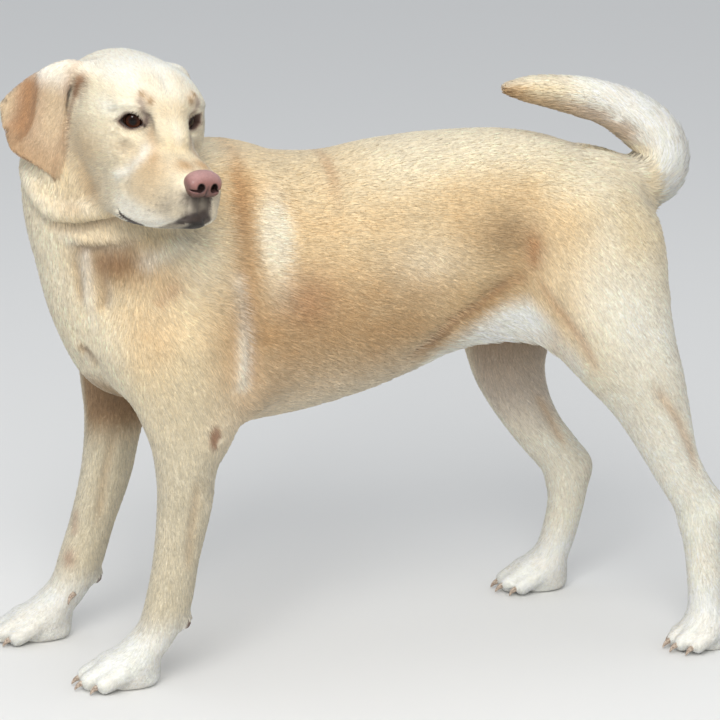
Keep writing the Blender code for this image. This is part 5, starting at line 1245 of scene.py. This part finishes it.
def toned(name, rough, noise_scale, amount, bump_scale=0.0, bump=0.0, attr='Tone', stretch=(1, 1, 1)):
    """A material whose colour is the painted tone, broken by fine noise, with a bump."""
    m, t, b = plain_material(name, rough)
    a = node(t, 'ShaderNodeAttribute', (-900, 200), attribute_name=attr)
    co = node(t, 'ShaderNodeTexCoord', (-1300, -100))
    mp = node(t, 'ShaderNodeMapping', (-1100, -100))
    mp.inputs['Scale'].default_value = stretch
    t.links.new(co.outputs['Object'], mp.inputs['Vector'])
    nz = node(t, 'ShaderNodeTexNoise', (-900, -100))
    nz.inputs['Scale'].default_value = noise_scale
    nz.inputs['Detail'].default_value = 3
    t.links.new(mp.outputs['Vector'], nz.inputs['Vector'])
    r = node(t, 'ShaderNodeMapRange', (-700, -100))
    r.inputs['From Min'].default_value, r.inputs['From Max'].default_value = 0.3, 0.7
    r.inputs['To Min'].default_value, r.inputs['To Max'].default_value = 1 - amount, 1 + amount
    t.links.new(nz.outputs['Fac'], r.inputs['Value'])
    mx = node(t, 'ShaderNodeVectorMath', (-450, 150), operation='SCALE')
    t.links.new(a.outputs['Color'], mx.inputs[0])
    t.links.new(r.outputs['Result'], mx.inputs['Scale'])
    t.links.new(mx.outputs['Vector'], b.inputs['Base Color'])
    if bump:
        n2 = node(t, 'ShaderNodeTexNoise', (-900, -400))
        n2.inputs['Scale'].default_value = bump_scale
        n2.inputs['Detail'].default_value = 4
        t.links.new(mp.outputs['Vector'], n2.inputs['Vector'])
        bp = node(t, 'ShaderNodeBump', (-450, -300))
        bp.inputs['Strength'].default_value = bump
        bp.inputs['Distance'].default_value = 0.001
        t.links.new(n2.outputs['Fac'], bp.inputs['Height'])
        t.links.new(bp.outputs['Normal'], b.inputs['Normal'])
    return m, t, b


# ---------------------------------------------------------------- the skin
import time
T0 = time.time()
H, HF = ((0.0055, 0.0019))
X = axis(-0.46, 0.44, [H, (0.165, 0.350, HF)])
Y = axis(-0.17, 0.28, [H, (0.030, 0.225, HF)])
Z = axis(-0.012, 0.70, [H, (0.472, 0.665, HF), (-0.002, 0.05, H * 0.55)])
skin_pts, skin_quads, info = parallel_surface(skin_field, X, Y, Z)
skin_pts[skin_pts[:, 2] < 0.0004, 2] = 0.0
print('skin', skin_pts.shape, skin_quads.shape, info, round(time.time() - T0, 1), 's')


def point_normals(pts, quads):
    a, b, c, d = (pts[quads[:, i]] for i in range(4))
    f = np.cross(c - a, d - b)
    n = np.zeros_like(pts)
    for i in range(4):
        for k in range(3):
            n[:, k] += np.bincount(quads[:, i], f[:, k], len(pts))
    return unit(n + 1e-12)


skin_n = point_normals(skin_pts, skin_quads)
probe = skin_field(skin_pts[:2000] + skin_n[:2000] * 0.001) - skin_field(skin_pts[:2000] - skin_n[:2000] * 0.001)
if np.median(probe) < 0:
    skin_quads = skin_quads[:, ::-1].copy()
    skin_n = -skin_n


def kinds(w):
    k = {name: w[:, i] for i, name in enumerate(PARTS)}
    return k


skin_w = spread(part_weights, skin_pts)
skin_tone = coat_colour(skin_pts, skin_n, kinds(skin_w))
skin = mesh_object('skin', skin_pts + SHIFT, skin_quads)
# the skin a little darker than the coat over it: painted shade under the tufts
colour_points(skin, skin_tone * 0.93)
m, t, b = toned('hide', 0.75, 260, 0.10, 900, 0.5)
b.inputs['Sheen Weight'].default_value = 0.15
b.inputs['Specular IOR Level'].default_value = 0.25
skin.data.materials.append(m)
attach(skin, 'root')
flesh = [n for n in frame['nodes'] if not n.startswith(('eye_', 'nose', 'claw_'))]
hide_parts(*flesh)
print('skin done', round(time.time() - T0, 1), 's')

# ---------------------------------------------------------------- the coat
rng = np.random.default_rng(7)
TUFTS = 362000


def sample_roots(count):
    """Roots spread over the skin, closer on the face and feet; returns places and normals."""
    q = skin_quads
    tri = np.concatenate([q[:, [0, 1, 2]], q[:, [0, 2, 3]]])
    a, b, c = (skin_pts[tri[:, i]] for i in range(3))
    area = np.linalg.norm(np.cross(b - a, c - a), axis=1) * 0.5
    mid = (a + b + c) / 3
    hq = in_head(mid)
    w = skin_w[tri[:, 0]]
    wt = np.ones(len(tri))
    k = kinds(w)
    feet = k['fore_left_paw'] + k['fore_right_paw'] + k['hind_left_paw'] + k['hind_right_paw']
    legs = k['fore_left'] + k['fore_right'] + k['hind_left'] + k['hind_right']
    wt = wt * lerp(1.0, 2.1, np.clip(k['head'], 0, 1))
    wt = wt * lerp(1.0, 1.45, k['ear_left'] + k['ear_right'])
    wt = wt * lerp(1.0, 1.9, feet) * lerp(1.0, 1.25, legs) * lerp(1.0, 0.85, k['trunk'])
    wt = wt * lerp(1.0, 1.25, ramp(hq[:, 0], 0.0, 0.05) * k['head'])
    share = np.cumsum(area * wt)
    pick = np.searchsorted(share, (np.arange(count) + rng.random(count)) / count * share[-1])
    pick = np.minimum(pick, len(tri) - 1)
    r1, r2 = np.sqrt(rng.random(count)), rng.random(count)
    wa, wb, wc = 1 - r1, r1 * (1 - r2), r1 * r2
    p = a[pick] * wa[:, None] + b[pick] * wb[:, None] + c[pick] * wc[:, None]
    n = unit(skin_n[tri[pick, 0]] * wa[:, None] + skin_n[tri[pick, 1]] * wb[:, None] + skin_n[tri[pick, 2]] * wc[:, None])
    return p, n


root, rn = sample_roots(TUFTS)
ok = ~bare(root, in_head(root))
root, rn = root[ok], rn[ok]
rw = spread(part_weights, root)
part = rw.argmax(1)
rk = kinds(rw)
rq = in_head(root)
flow = spread(lambda s: lie(s[:, :3], s[:, 3:6], s[:, 6:]), np.hstack([root, rn, rw]))
print('roots', len(root), round(time.time() - T0, 1), 's')

# length, lift and width of each tuft
feet = rk['fore_left_paw'] + rk['fore_right_paw'] + rk['hind_left_paw'] + rk['hind_right_paw']
fores, hinds = rk['fore_left'] + rk['fore_right'], rk['hind_left'] + rk['hind_right']
ears = rk['ear_left'] + rk['ear_right']
length = 0.0092 * rk['trunk'] + 0.0088 * rk['neck'] + 0.0070 * fores + 0.0078 * hinds + 0.0044 * feet + 0.0135 * rk['tail'] + 0.0052 * ears
muzzle = ramp(rq[:, 0], 0.0, 0.05)
length += rk['head'] * lerp(lerp(0.0058, 0.0072, ramp(-rq[:, 2], 0.02, 0.07)), 0.0036, muzzle)
for side in ('left', 'right'):
    w = np.linalg.norm(rq - EYE_C[side], axis=1)
    length *= lerp(0.50, 1.0, ramp(w, 0.014, 0.034))
fringe = 0.9 * ramp(-rn[:, 2], 0.15, 0.8) * rk['trunk'] * ramp(-root[:, 0], -0.12, 0.02)      # belly and flank web
fringe += 0.6 * ramp(-rn[:, 0], 0.3, 0.9) * (hinds + 0.6 * rk['trunk']) * ramp(root[:, 2], 0.24, 0.32) * ramp(-root[:, 0], 0.2, 0.25)   # back of the thighs
fringe += 0.5 * ramp(-rn[:, 0], 0.3, 0.9) * fores * ramp(root[:, 2], 0.16, 0.26)
fringe += 0.75 * rk['tail'] * ramp(-root[:, 0], 0.27, 0.33) * ramp(-rn[:, 0], -0.2, 0.6)
fringe += 0.15 * ramp(rn[:, 0], 0.2, 0.8) * rk['neck']
for i in (6, 7, 11, 18, 19):
    mr, tr = line_distance(root, np.array(FOLDS[i][0]))
    length *= 1 - 0.50 * bell(mr, FOLDS[i][2] * 1.8)
web_fringe = ramp(-rn[:, 2], -0.05, 0.55) * ramp(-root[:, 0], 0.02, 0.07) * (1 - ramp(-root[:, 0], 0.205, 0.235)) * (1 - ramp(root[:, 2], 0.355, 0.395)) * ramp(root[:, 2], 0.30, 0.32) * rk['trunk']
fringe += 0.9 * web_fringe
length *= 1 + 0.75 * fringe
length *= lerp(0.55, 1.0, ramp(root[:, 2], 0.010, 0.035))
length *= 1 - 0.45 * rk['tail'] * ramp(root[:, 0], -0.180, -0.164)
length *= 1 + 0.28 * (rng.random(len(root)) - 0.5)
depth = spread(coat_depth, root)
lift = depth * (0.50 + 0.50 * rng.random(len(root)))
lift = lift * (1 + 1.1 * np.clip(fringe, 0, 1) * rng.random(len(root)))
width = np.clip(length * 0.135, 0.00060, 0.00150) * (0.8 + 0.4 * rng.random(len(root)))

turned = rng.normal(0, 1, len(root)) * 0.10
side = np.cross(rn, flow)
d0 = unit(flow + side * turned[:, None])
side = np.cross(rn, d0)
base = root - rn * 0.0007
want_mid, want_tip = 0.75 * lift, lift
mid = root + d0 * (length * 0.36)[:, None] + rn * want_mid[:, None]
tip = root + d0 * length[:, None] + side * (length * 0.05 * rng.normal(0, 1, len(root)))[:, None] + rn * want_tip[:, None]


def settle(p, want, n, most):
    """Moves points along the root's normal so that they stand at the wished height over the skin."""
    d = spread(skin_field, p)
    return p + n * np.clip(want - d, -most, most)[:, None]


mid = settle(mid, want_mid, rn, 0.006)
tip = settle(tip, want_tip, rn, 0.010)
tip = settle(tip, want_tip, rn, 0.006)
low = tip[:, 2] < 0.0006
tip[low, 2] = 0.0006
mid[:, 2] = np.maximum(mid[:, 2], 0.0008)
print('tufts settled', round(time.time() - T0, 1), 's')

# colours: the skin's markings with their painted light and shade, a little lighter or darker tuft by tuft
strand = 1 + 0.11 * rng.normal(0, 1, len(root)).clip(-2, 2) * lerp(1.0, 0.8, rk['head'])
root_tone = coat_colour(root, rn, rk)
warm = rng.normal(0, 1, len(root)).clip(-2, 2)[:, None] * np.array((0.010, 0.0, -0.020))
tone = np.clip(root_tone * strand[:, None] * (1 + warm), 0.01, 0.95)

n_t = len(root)
V = np.empty((n_t, 4, 3))
V[:, 0] = base - side * (width * 0.5)[:, None]
V[:, 1] = base + side * (width * 0.5)[:, None]
V[:, 2] = mid
V[:, 3] = tip
V[:, :, 2] = np.maximum(V[:, :, 2], 0.0002)
LEAF = np.array([(0, 1, 2), (0, 2, 3), (2, 1, 3), (1, 0, 3)])
if np.median((np.cross(V[:, 2] - V[:, 0], V[:, 3] - V[:, 0]) * rn).sum(1)) < 0:
    LEAF = LEAF[:, ::-1]

tu, tv = unwrap(root, part)
PATCH = np.array([(-0.0015, -0.0010), (0.0015, -0.0010), (0.0, 0.0004), (0.0, 0.0015)])
UV = np.stack([tu, tv], 1)[:, None, :] + PATCH[None]
UV = np.clip(UV, 0.0005, 0.9995)

coat_mat, t, b = toned('coat', 0.62, 420, 0.07)
b.inputs['Sheen Weight'].default_value = 0.18
b.inputs['Sheen Roughness'].default_value = 0.5
b.inputs['Specular IOR Level'].default_value = 0.28

AREAS = {'coat_head': ['head'], 'coat_ears': ['ear_left', 'ear_right'], 'coat_neck': ['neck'], 'coat_trunk': ['trunk'],
         'coat_forelegs': ['fore_left', 'fore_right', 'fore_left_paw', 'fore_right_paw'],
         'coat_hindlegs': ['hind_left', 'hind_right', 'hind_left_paw', 'hind_right_paw'], 'coat_tail': ['tail']}
MOST = 48000
total = 0
for area, names in AREAS.items():
    pick = np.nonzero(np.isin(part, [PARTS.index(n) for n in names]))[0]
    if not len(pick):
        continue
    if area == 'coat_trunk':
        pick = pick[np.argsort(root[pick, 0], kind='stable')]
    else:
        pick = pick[np.argsort(root[pick, 2], kind='stable')]
    pieces = int(np.ceil(len(pick) / MOST))
    for i, ids in enumerate(np.array_split(pick, pieces)):
        name = area if pieces == 1 else f'{area}_{i + 1}'
        f = (LEAF[None] + (np.arange(len(ids)) * 4)[:, None, None]).reshape(-1, 3)
        ob = mesh_object(name, (V[ids] + SHIFT).reshape(-1, 3), f)
        # each tuft a little darker at its root, painted shade deep in the coat, and a little lighter at its tip
        shade = np.array((0.94, 0.94, 1.0, 1.04))
        colour_points(ob, np.clip(tone[ids][:, None, :] * shade[None, :, None], 0, 0.97).reshape(-1, 3))
        layer = ob.data.uv_layers.new(name='OFBake', do_init=False)
        layer.uv.foreach_set('vector', UV[ids][:, LEAF].reshape(-1, 2).astype(np.float32).ravel())
        r, s_, d_ = rn[ids], side[ids], d0[ids]
        soft = unit(np.stack([r - s_ * 0.45, r + s_ * 0.45, r + s_ * 0.0, r + d_ * 0.15], 1))
        corner = soft[:, LEAF]
        under = np.cross(V[ids, 0] - V[ids, 1], V[ids, 3] - V[ids, 1])
        under = unit(under * -np.sign((under * r).sum(1, keepdims=True)) + 1e-12)
        corner[:, 3] = under[:, None, :]
        ob.data.normals_split_custom_set(corner.reshape(-1, 3).astype(np.float32))
        ob.data.materials.append(coat_mat)
        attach(ob, 'root')
        total += len(f)
print('coat', total, 'triangles', round(time.time() - T0, 1), 's')


# ---------------------------------------------------------------- eyes
def ball_points(seg, rings):
    v = [(0, 0, 1)]
    for i in range(1, rings):
        a = pi * i / rings
        v += [(sin(a) * cos(2 * pi * j / seg), sin(a) * sin(2 * pi * j / seg), cos(a)) for j in range(seg)]
    v.append((0, 0, -1))
    f = []
    for j in range(seg):
        k = (j + 1) % seg
        f.append((0, 1 + j, 1 + k, 1 + k))
        for i in range(rings - 2):
            a, b = 1 + i * seg, 1 + (i + 1) * seg
            f.append((a + j, b + j, b + k, a + k))
        a = 1 + (rings - 2) * seg
        f.append((a + j, len(v) - 1, a + k, a + k))
    return np.array(v), f


def quads_object(name, pts, faces):
    me = bpy.data.meshes.new(name)
    me.from_pydata([tuple(map(float, v)) for v in pts], [], [tuple(dict.fromkeys(int(i) for i in f)) for f in faces])
    me.update()
    me.polygons.foreach_set('use_smooth', np.full(len(me.polygons), True))
    ob = bpy.data.objects.new(name, me)
    bpy.context.scene.collection.objects.link(ob)
    return ob


GAZE = {'left': (30.0, -4.0), 'right': (33.0, -4.0)}
eye_mat, t, b = plain_material('eye_wet', 0.06)
a = node(t, 'ShaderNodeAttribute', (-400, 0), attribute_name='Tone')
t.links.new(a.outputs['Color'], b.inputs['Base Color'])
b.inputs['Coat Weight'].default_value = 0.16
b.inputs['Coat Roughness'].default_value = 0.02
b.inputs['Specular IOR Level'].default_value = 0.14
b.inputs['IOR'].default_value = 1.38
for side in ('left', 'right'):
    m = 1 if side == 'left' else -1
    az, el = map(radians, GAZE[side])
    look = np.array((cos(az) * cos(el), m * sin(az) * cos(el), sin(el)))
    up = unit(np.array((0, 0, 1.0)) - look * look[2])
    ax = np.stack([np.cross(up, look), up, look], 1)
    v, f = ball_points(72, 64)
    ang = np.arccos(np.clip(v[:, 2], -1, 1))
    rad = EYE_RADIUS * (0.992 + 0.022 * (1 - ramp(ang, radians(36), radians(47))))
    pts = (v * rad[:, None]) @ ax.T + EYE_C[side]
    pts = pts @ HM.T + AT
    around = np.arctan2(v[:, 1], v[:, 0])
    r = ang / radians(42.0)
    c = np.broadcast_to(lin(66, 35, 24), (len(v), 3)).copy()
    streak = 1 + 0.18 * np.sin(around * 37) * np.sin(around * 11 + 1.0) + 0.12 * np.sin(around * 71)
    c = c * streak[:, None]
    c = c * lerp(1.0, 0.40, ramp(-r, -0.85, -0.35))[:, None]
    # painted light and shade: the iris darker toward the top, under the lid's shadow, and lighter toward the bottom
    c = c * (1.0 - 0.9 * v[:, 1]).clip(0.35, 1.5)[:, None]
    c = lerp(c, lin(15, 10, 8), (1 - ramp(r, 0.22, 0.60))[:, None])
    c = lerp(c, lin(26, 16, 12), ramp(r, 0.82, 0.97)[:, None])
    c = lerp(c, lin(92, 62, 50), (0.80 * ramp(r, 1.06, 1.22))[:, None])
    ob = quads_object('eyeball_' + side, pts + SHIFT, f)
    colour_points(ob, np.clip(c, 0, 1))
    ob.data.materials.append(eye_mat)
    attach(ob, 'root')
    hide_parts('eye_' + side)

rim_mat, t, b = plain_material('lid_rim', 0.38, tuple(lin(44, 34, 30)))
nz = node(t, 'ShaderNodeTexNoise', (-700, -200))
nz.inputs['Scale'].default_value = 900
bp = node(t, 'ShaderNodeBump', (-300, -200))
bp.inputs['Strength'].default_value = 0.35
bp.inputs['Distance'].default_value = 0.0004
t.links.new(nz.outputs['Fac'], bp.inputs['Height'])
t.links.new(bp.outputs['Normal'], b.inputs['Normal'])
rp = node(t, 'ShaderNodeValToRGB', (-400, 150))
rp.color_ramp.elements[0].color = (*lin(34, 26, 23), 1)
rp.color_ramp.elements[1].color = (*lin(66, 52, 46), 1)
t.links.new(nz.outputs['Fac'], rp.inputs['Fac'])
t.links.new(rp.outputs['Color'], b.inputs['Base Color'])


def tube(name, line, radii, seg=8):
    """A closed ring of tube along a loop of points."""
    n = len(line)
    t_ = unit(np.roll(line, -1, 0) - np.roll(line, 1, 0))
    out = unit(line - line.mean(0))
    s_ = unit(np.cross(t_, out))
    o_ = np.cross(s_, t_)
    pts = []
    for i in range(n):
        for j in range(seg):
            a = 2 * pi * j / seg
            pts.append(line[i] + (o_[i] * cos(a) + s_[i] * sin(a)) * radii[i])
    f = []
    for i in range(n):
        k = (i + 1) % n
        for j in range(seg):
            l = (j + 1) % seg
            f.append((i * seg + j, i * seg + l, k * seg + l, k * seg + j))
    ob = quads_object(name, np.array(pts), f)
    return ob


def smooth_top(a, b):
    return 0.5 * (a + b + sqrt((a - b) ** 2 + 0.001 ** 2))


for side in ('left', 'right'):
    loop, rad = [], []
    for i in range(120):
        a = 2 * pi * i / 120
        x = LID_HALF * cos(a) * 0.99
        h = LID_UP if sin(a) > 0 else LID_DOWN
        y = np.sign(sin(a)) * h * (1 - (abs(x) / LID_HALF) ** 2) + LID_LINE
        r = EYE_RADIUS + 0.0008
        out = sqrt(max(r * r - x * x - y * y, 0.0))
        loop.append((smooth_top(out, LID_FLOOR + 0.0012), x, y))
        rad.append(0.00070 if sin(a) > 0 else 0.00075)
    loop = np.array(loop) @ EYE_AX[side].T + EYE_C[side]
    loop = loop @ HM.T + AT + SHIFT
    ob = tube('lid_rim_' + side, loop, np.array(rad))
    ob.data.materials.append(rim_mat)
    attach(ob, 'root')

# ---------------------------------------------------------------- nose
def nostril(s):
    a = quotient(s[:, 0] - 0.0115, s[:, 1] - 0.0072, s[:, 2] + 0.0012, 0.0085, 0.0037, 0.0044, 2.0)
    b = quotient(s[:, 0] - 0.0070, s[:, 1] - 0.0112, s[:, 2] + 0.0042, 0.0070, 0.0048, 0.0012, 2.0)
    return a, b


def nose_field(q, near=0.02):
    w = q - NOSE_AT
    s = w.copy()
    s[:, 1] = np.abs(s[:, 1])
    d = quotient(w[:, 0], w[:, 1], w[:, 2], *NOSE_HALF, 2.1)
    # the wings swell beside the nostrils and the pad narrows to the lip
    d = smin(d, quotient(s[:, 0] - 0.0000, s[:, 1] - 0.0102, s[:, 2] + 0.0026, 0.0114, 0.0082, 0.0100, 2.0), 0.004)
    d = smax(d, (s[:, 1] - 0.0150 - 0.45 * (s[:, 2] + 0.0105)) * 0.91, 0.004)
    # nostrils, curling outward into slits
    a, b = nostril(s)
    d = smax(d, -smin(a, b, 0.0015), 0.0018)
    # the cleft down the middle
    d = d + 0.0011 * bell(s[:, 1], 0.0010) * ramp(-s[:, 2], -0.003, 0.003)
    return d


step = [0.00075]
lo, hi = NOSE_AT - NOSE_HALF - 0.004, NOSE_AT + NOSE_HALF + 0.004
npts, nquads, _ = surface(nose_field, axis(lo[0], hi[0], step), axis(lo[1], hi[1], step), axis(lo[2], hi[2], step), newton=2)
nn = point_normals(npts, nquads)
if np.median(nose_field(npts + nn * 0.0005) - nose_field(npts - nn * 0.0005)) < 0:
    nquads = nquads[:, ::-1].copy()
    nn = -nn
w = npts - NOSE_AT
s = np.abs(w[:, 1])
# the leather: lighter on top and darker where it faces sideways and down, painted light and shade; darker toward the
# bottom, at the wings' outer edges and at the back; the nostrils, their slits and the cleft darkened with painted shade
c = np.broadcast_to(lin(170, 129, 124), (len(npts), 3)).copy()
hole, slit = nostril(np.stack([w[:, 0], s, w[:, 2]], 1))
c = lerp(c, lin(140, 94, 86), (1 - ramp(nn[:, 2], 0.20, 0.85))[:, None])
c = lerp(c, lin(104, 66, 56), (0.85 * ramp(-nn[:, 2], -0.35, 0.25))[:, None])
c = lerp(c, lin(78, 50, 42), (0.85 * ramp(-w[:, 2], 0.004, 0.012))[:, None])
c = lerp(c, lin(128, 92, 88), (0.5 * ramp(s, 0.0150, 0.0190))[:, None])
c = lerp(c, lin(48, 28, 24), (0.7 * (1 - ramp(slit, -0.0004, 0.0012)))[:, None])
c = lerp(c, lin(24, 12, 10), (1 - ramp(hole, -0.0002, 0.0014))[:, None])
c = lerp(c, lin(62, 38, 34), (0.85 * bell(w[:, 1], 0.0012) * ramp(-w[:, 2], -0.003, 0.004))[:, None])
c = lerp(c, lin(108, 80, 72), (0.6 * ramp(-w[:, 0], 0.001, 0.008))[:, None])
c = c * (1 + 0.10 * value_noise(npts, 700, 4) + 0.05 * value_noise(npts, 260, 6))[:, None]
nose = mesh_object('nose_pad', npts @ HM.T + AT + SHIFT, nquads)
colour_points(nose, np.clip(c, 0, 1))
m, t, b = plain_material('nose_leather', 0.42)
a = node(t, 'ShaderNodeAttribute', (-500, 200), attribute_name='Tone')
t.links.new(a.outputs['Color'], b.inputs['Base Color'])
co = node(t, 'ShaderNodeTexCoord', (-1000, -100))
vo = node(t, 'ShaderNodeTexVoronoi', (-800, -100))
vo.inputs['Scale'].default_value = 950
t.links.new(co.outputs['Object'], vo.inputs['Vector'])
bp = node(t, 'ShaderNodeBump', (-400, -200))
bp.inputs['Strength'].default_value = 0.75
bp.inputs['Distance'].default_value = 0.0006
bp.invert = True
t.links.new(vo.outputs['Distance'], bp.inputs['Height'])
t.links.new(bp.outputs['Normal'], b.inputs['Normal'])
b.inputs['Coat Weight'].default_value = 0.25
b.inputs['Coat Roughness'].default_value = 0.25
nose.data.materials.append(m)
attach(nose, 'root')
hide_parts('nose')

# ---------------------------------------------------------------- claws
claw_mat, t, b = plain_material('claw_horn', 0.35)
co = node(t, 'ShaderNodeTexCoord', (-1100, 0))
nz = node(t, 'ShaderNodeTexNoise', (-800, 0))
nz.inputs['Scale'].default_value = 500
rp = node(t, 'ShaderNodeValToRGB', (-500, 100))
rp.color_ramp.elements[0].position, rp.color_ramp.elements[1].position = 0.3, 0.7
rp.color_ramp.elements[0].color = (*lin(132, 112, 98), 1)
rp.color_ramp.elements[1].color = (*lin(206, 188, 168), 1)
t.links.new(co.outputs['Object'], nz.inputs['Vector'])
t.links.new(nz.outputs['Fac'], rp.inputs['Fac'])
t.links.new(rp.outputs['Color'], b.inputs['Base Color'])
bp = node(t, 'ShaderNodeBump', (-400, -200))
bp.inputs['Strength'].default_value = 0.3
bp.inputs['Distance'].default_value = 0.0003
t.links.new(nz.outputs['Fac'], bp.inputs['Height'])
t.links.new(bp.outputs['Normal'], b.inputs['Normal'])


def claw(name, root, tip, up, r0):
    root, tip, up = np.array(root), np.array(tip), unit(np.array(up, float))
    d = unit(tip - root)
    sd = unit(np.cross(up, d))
    up = np.cross(d, sd)
    ln = np.linalg.norm(tip - root)
    rows = [(-0.10 + 1.06 * i / 9) for i in range(10)]
    pts, faces = [], []
    for t_ in rows:
        r = r0 * 0.95 * max(1 - max(t_ - 0.15, 0) / 0.85, 0.0) ** 0.62 + 0.0002
        bow = 0.09 * sin(pi * np.clip(t_, 0, 1)) - 0.10 * max(t_, 0) ** 3
        cc = root + d * (t_ * ln) + up * (bow * ln)
        for j in range(12):
            a_ = 2 * pi * j / 12
            pts.append(cc + sd * (cos(a_) * r * 0.80) + up * (sin(a_) * r * 1.10))
    n_ = len(pts)
    pts += [root - d * (0.16 * ln), root + d * (ln * 0.985) - up * (0.10 * ln)]
    for i in range(9):
        for j in range(12):
            k_ = (j + 1) % 12
            faces.append((i * 12 + j, i * 12 + k_, (i + 1) * 12 + k_, (i + 1) * 12 + j))
    for j in range(12):
        k_ = (j + 1) % 12
        faces.append((j, n_, k_, k_))
        faces.append((n_ - 12 + j, n_ - 12 + k_, n_ + 1, n_ + 1))
    pts = np.array(pts)
    pts[:, 2] = np.maximum(pts[:, 2], 0.0003)
    ob = quads_object('horn_' + name[5:], pts + SHIFT, faces)
    ob.data.materials.append(claw_mat)
    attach(ob, 'root')
    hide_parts(name)


for pname, (px, py, yaw, sc) in PAWS.items():
    sd = 1.0 if pname.endswith('left') else -1.0
    ax = turn(yaw)
    for i, (kn, tp, r0, r1) in enumerate(TOES):
        t0 = np.array((tp[0] * sc, tp[1] * sd * sc, tp[2]))
        k0 = np.array((kn[0] * sc, kn[1] * sd * sc, kn[2]))
        d = unit((t0 - k0) * (1, 1, 0.0) + (0, 0, -0.004))
        rt = t0 + d * (r1 * sc * 0.72) + (0, 0, -0.0005)
        tp_ = rt + d * CLAW_LENGTH * 0.85 + (0, 0, -0.0042)
        bs = np.array((px, py, 0.0))
        claw(f'claw_{pname}_{i + 1}', bs + ax @ rt, bs + ax @ tp_, (0, 0, 1), CLAW_ROOT)
for pname, (rt, tp_) in DEWCLAWS.items():
    claw(f'claw_{pname}_dew', rt, tp_, (1, 0, 0.6), 0.0026)

# ---------------------------------------------------------------- floor, light, camera
fm, t, b = plain_material('floor', 0.9, (0.80, 0.80, 0.79))
floor = quads_object('floor', np.array([(-6, -6, 0), (6, -6, 0), (6, 6, 0), (-6, 6, 0)]) - (0, 0, 0.0005), [(0, 1, 2, 3)])
floor.data.materials.append(fm)

world = bpy.data.worlds.new('studio')
bpy.context.scene.world = world
world.use_nodes = True
bg = world.node_tree.nodes['Background']
bg.inputs[0].default_value = (0.93, 0.96, 1.0, 1)
bg.inputs[1].default_value = 0.63


def area(name, at, to, size, power, colour=(1, 1, 1)):
    l = bpy.data.lights.new(name, 'AREA')
    l.energy, l.size, l.color = power, size, colour
    o = bpy.data.objects.new(name, l)
    o.location = at
    o.rotation_euler = (Vector(to) - Vector(at)).to_track_quat('-Z', 'Y').to_euler()
    bpy.context.scene.collection.objects.link(o)


area('key', (0.9, 2.2, 2.3), (0, 0, 0.3), 2.0, 74.0, (1.0, 0.985, 0.96))
area('top', (0.2, 0.1, 3.2), (0, 0, 0.3), 2.0, 10.0)
area('spark', (0.93, 1.22, 1.31), (0.27, 0.09, 0.62), 0.34, 12.0)
for name in ('key', 'spark'):
    bpy.data.objects[name].visible_camera = False
bpy.data.objects['key'].visible_glossy = False
bpy.data.objects['spark'].visible_diffuse = False

MIDDLE = Vector([(CAD_BOX[0][i] + CAD_BOX[1][i]) / 2 for i in range(3)])
AZ, PITCH, DIST, ROLL = radians(165.3), radians(16.3), 3.10, 0.008
TARGET = np.array((-0.006, 0.0, 0.323)) + SHIFT
back = np.array([sin(AZ) * cos(PITCH), -cos(AZ) * cos(PITCH), sin(PITCH)])
right = unit(np.cross(-back, (0, 0, 1)))
upv = np.cross(right, -back)
cr, sr = cos(ROLL), sin(ROLL)
rt, uu = cr * right + sr * upv, -sr * right + cr * upv
cd = bpy.data.cameras.new('camera')
cam = bpy.data.objects.new('camera', cd)
pos = TARGET + back * DIST
cam.matrix_world = Matrix([[rt[i], uu[i], back[i], pos[i]] for i in range(3)] + [[0, 0, 0, 1]])
cd.sensor_width = 36
cd.lens = 2891.0 / 720 * 36
cd.clip_end = 60
bpy.context.scene.collection.objects.link(cam)
bpy.context.scene.camera = cam
bpy.context.scene.view_settings.view_transform = 'Standard'

print('all', round(time.time() - T0, 1), 's')
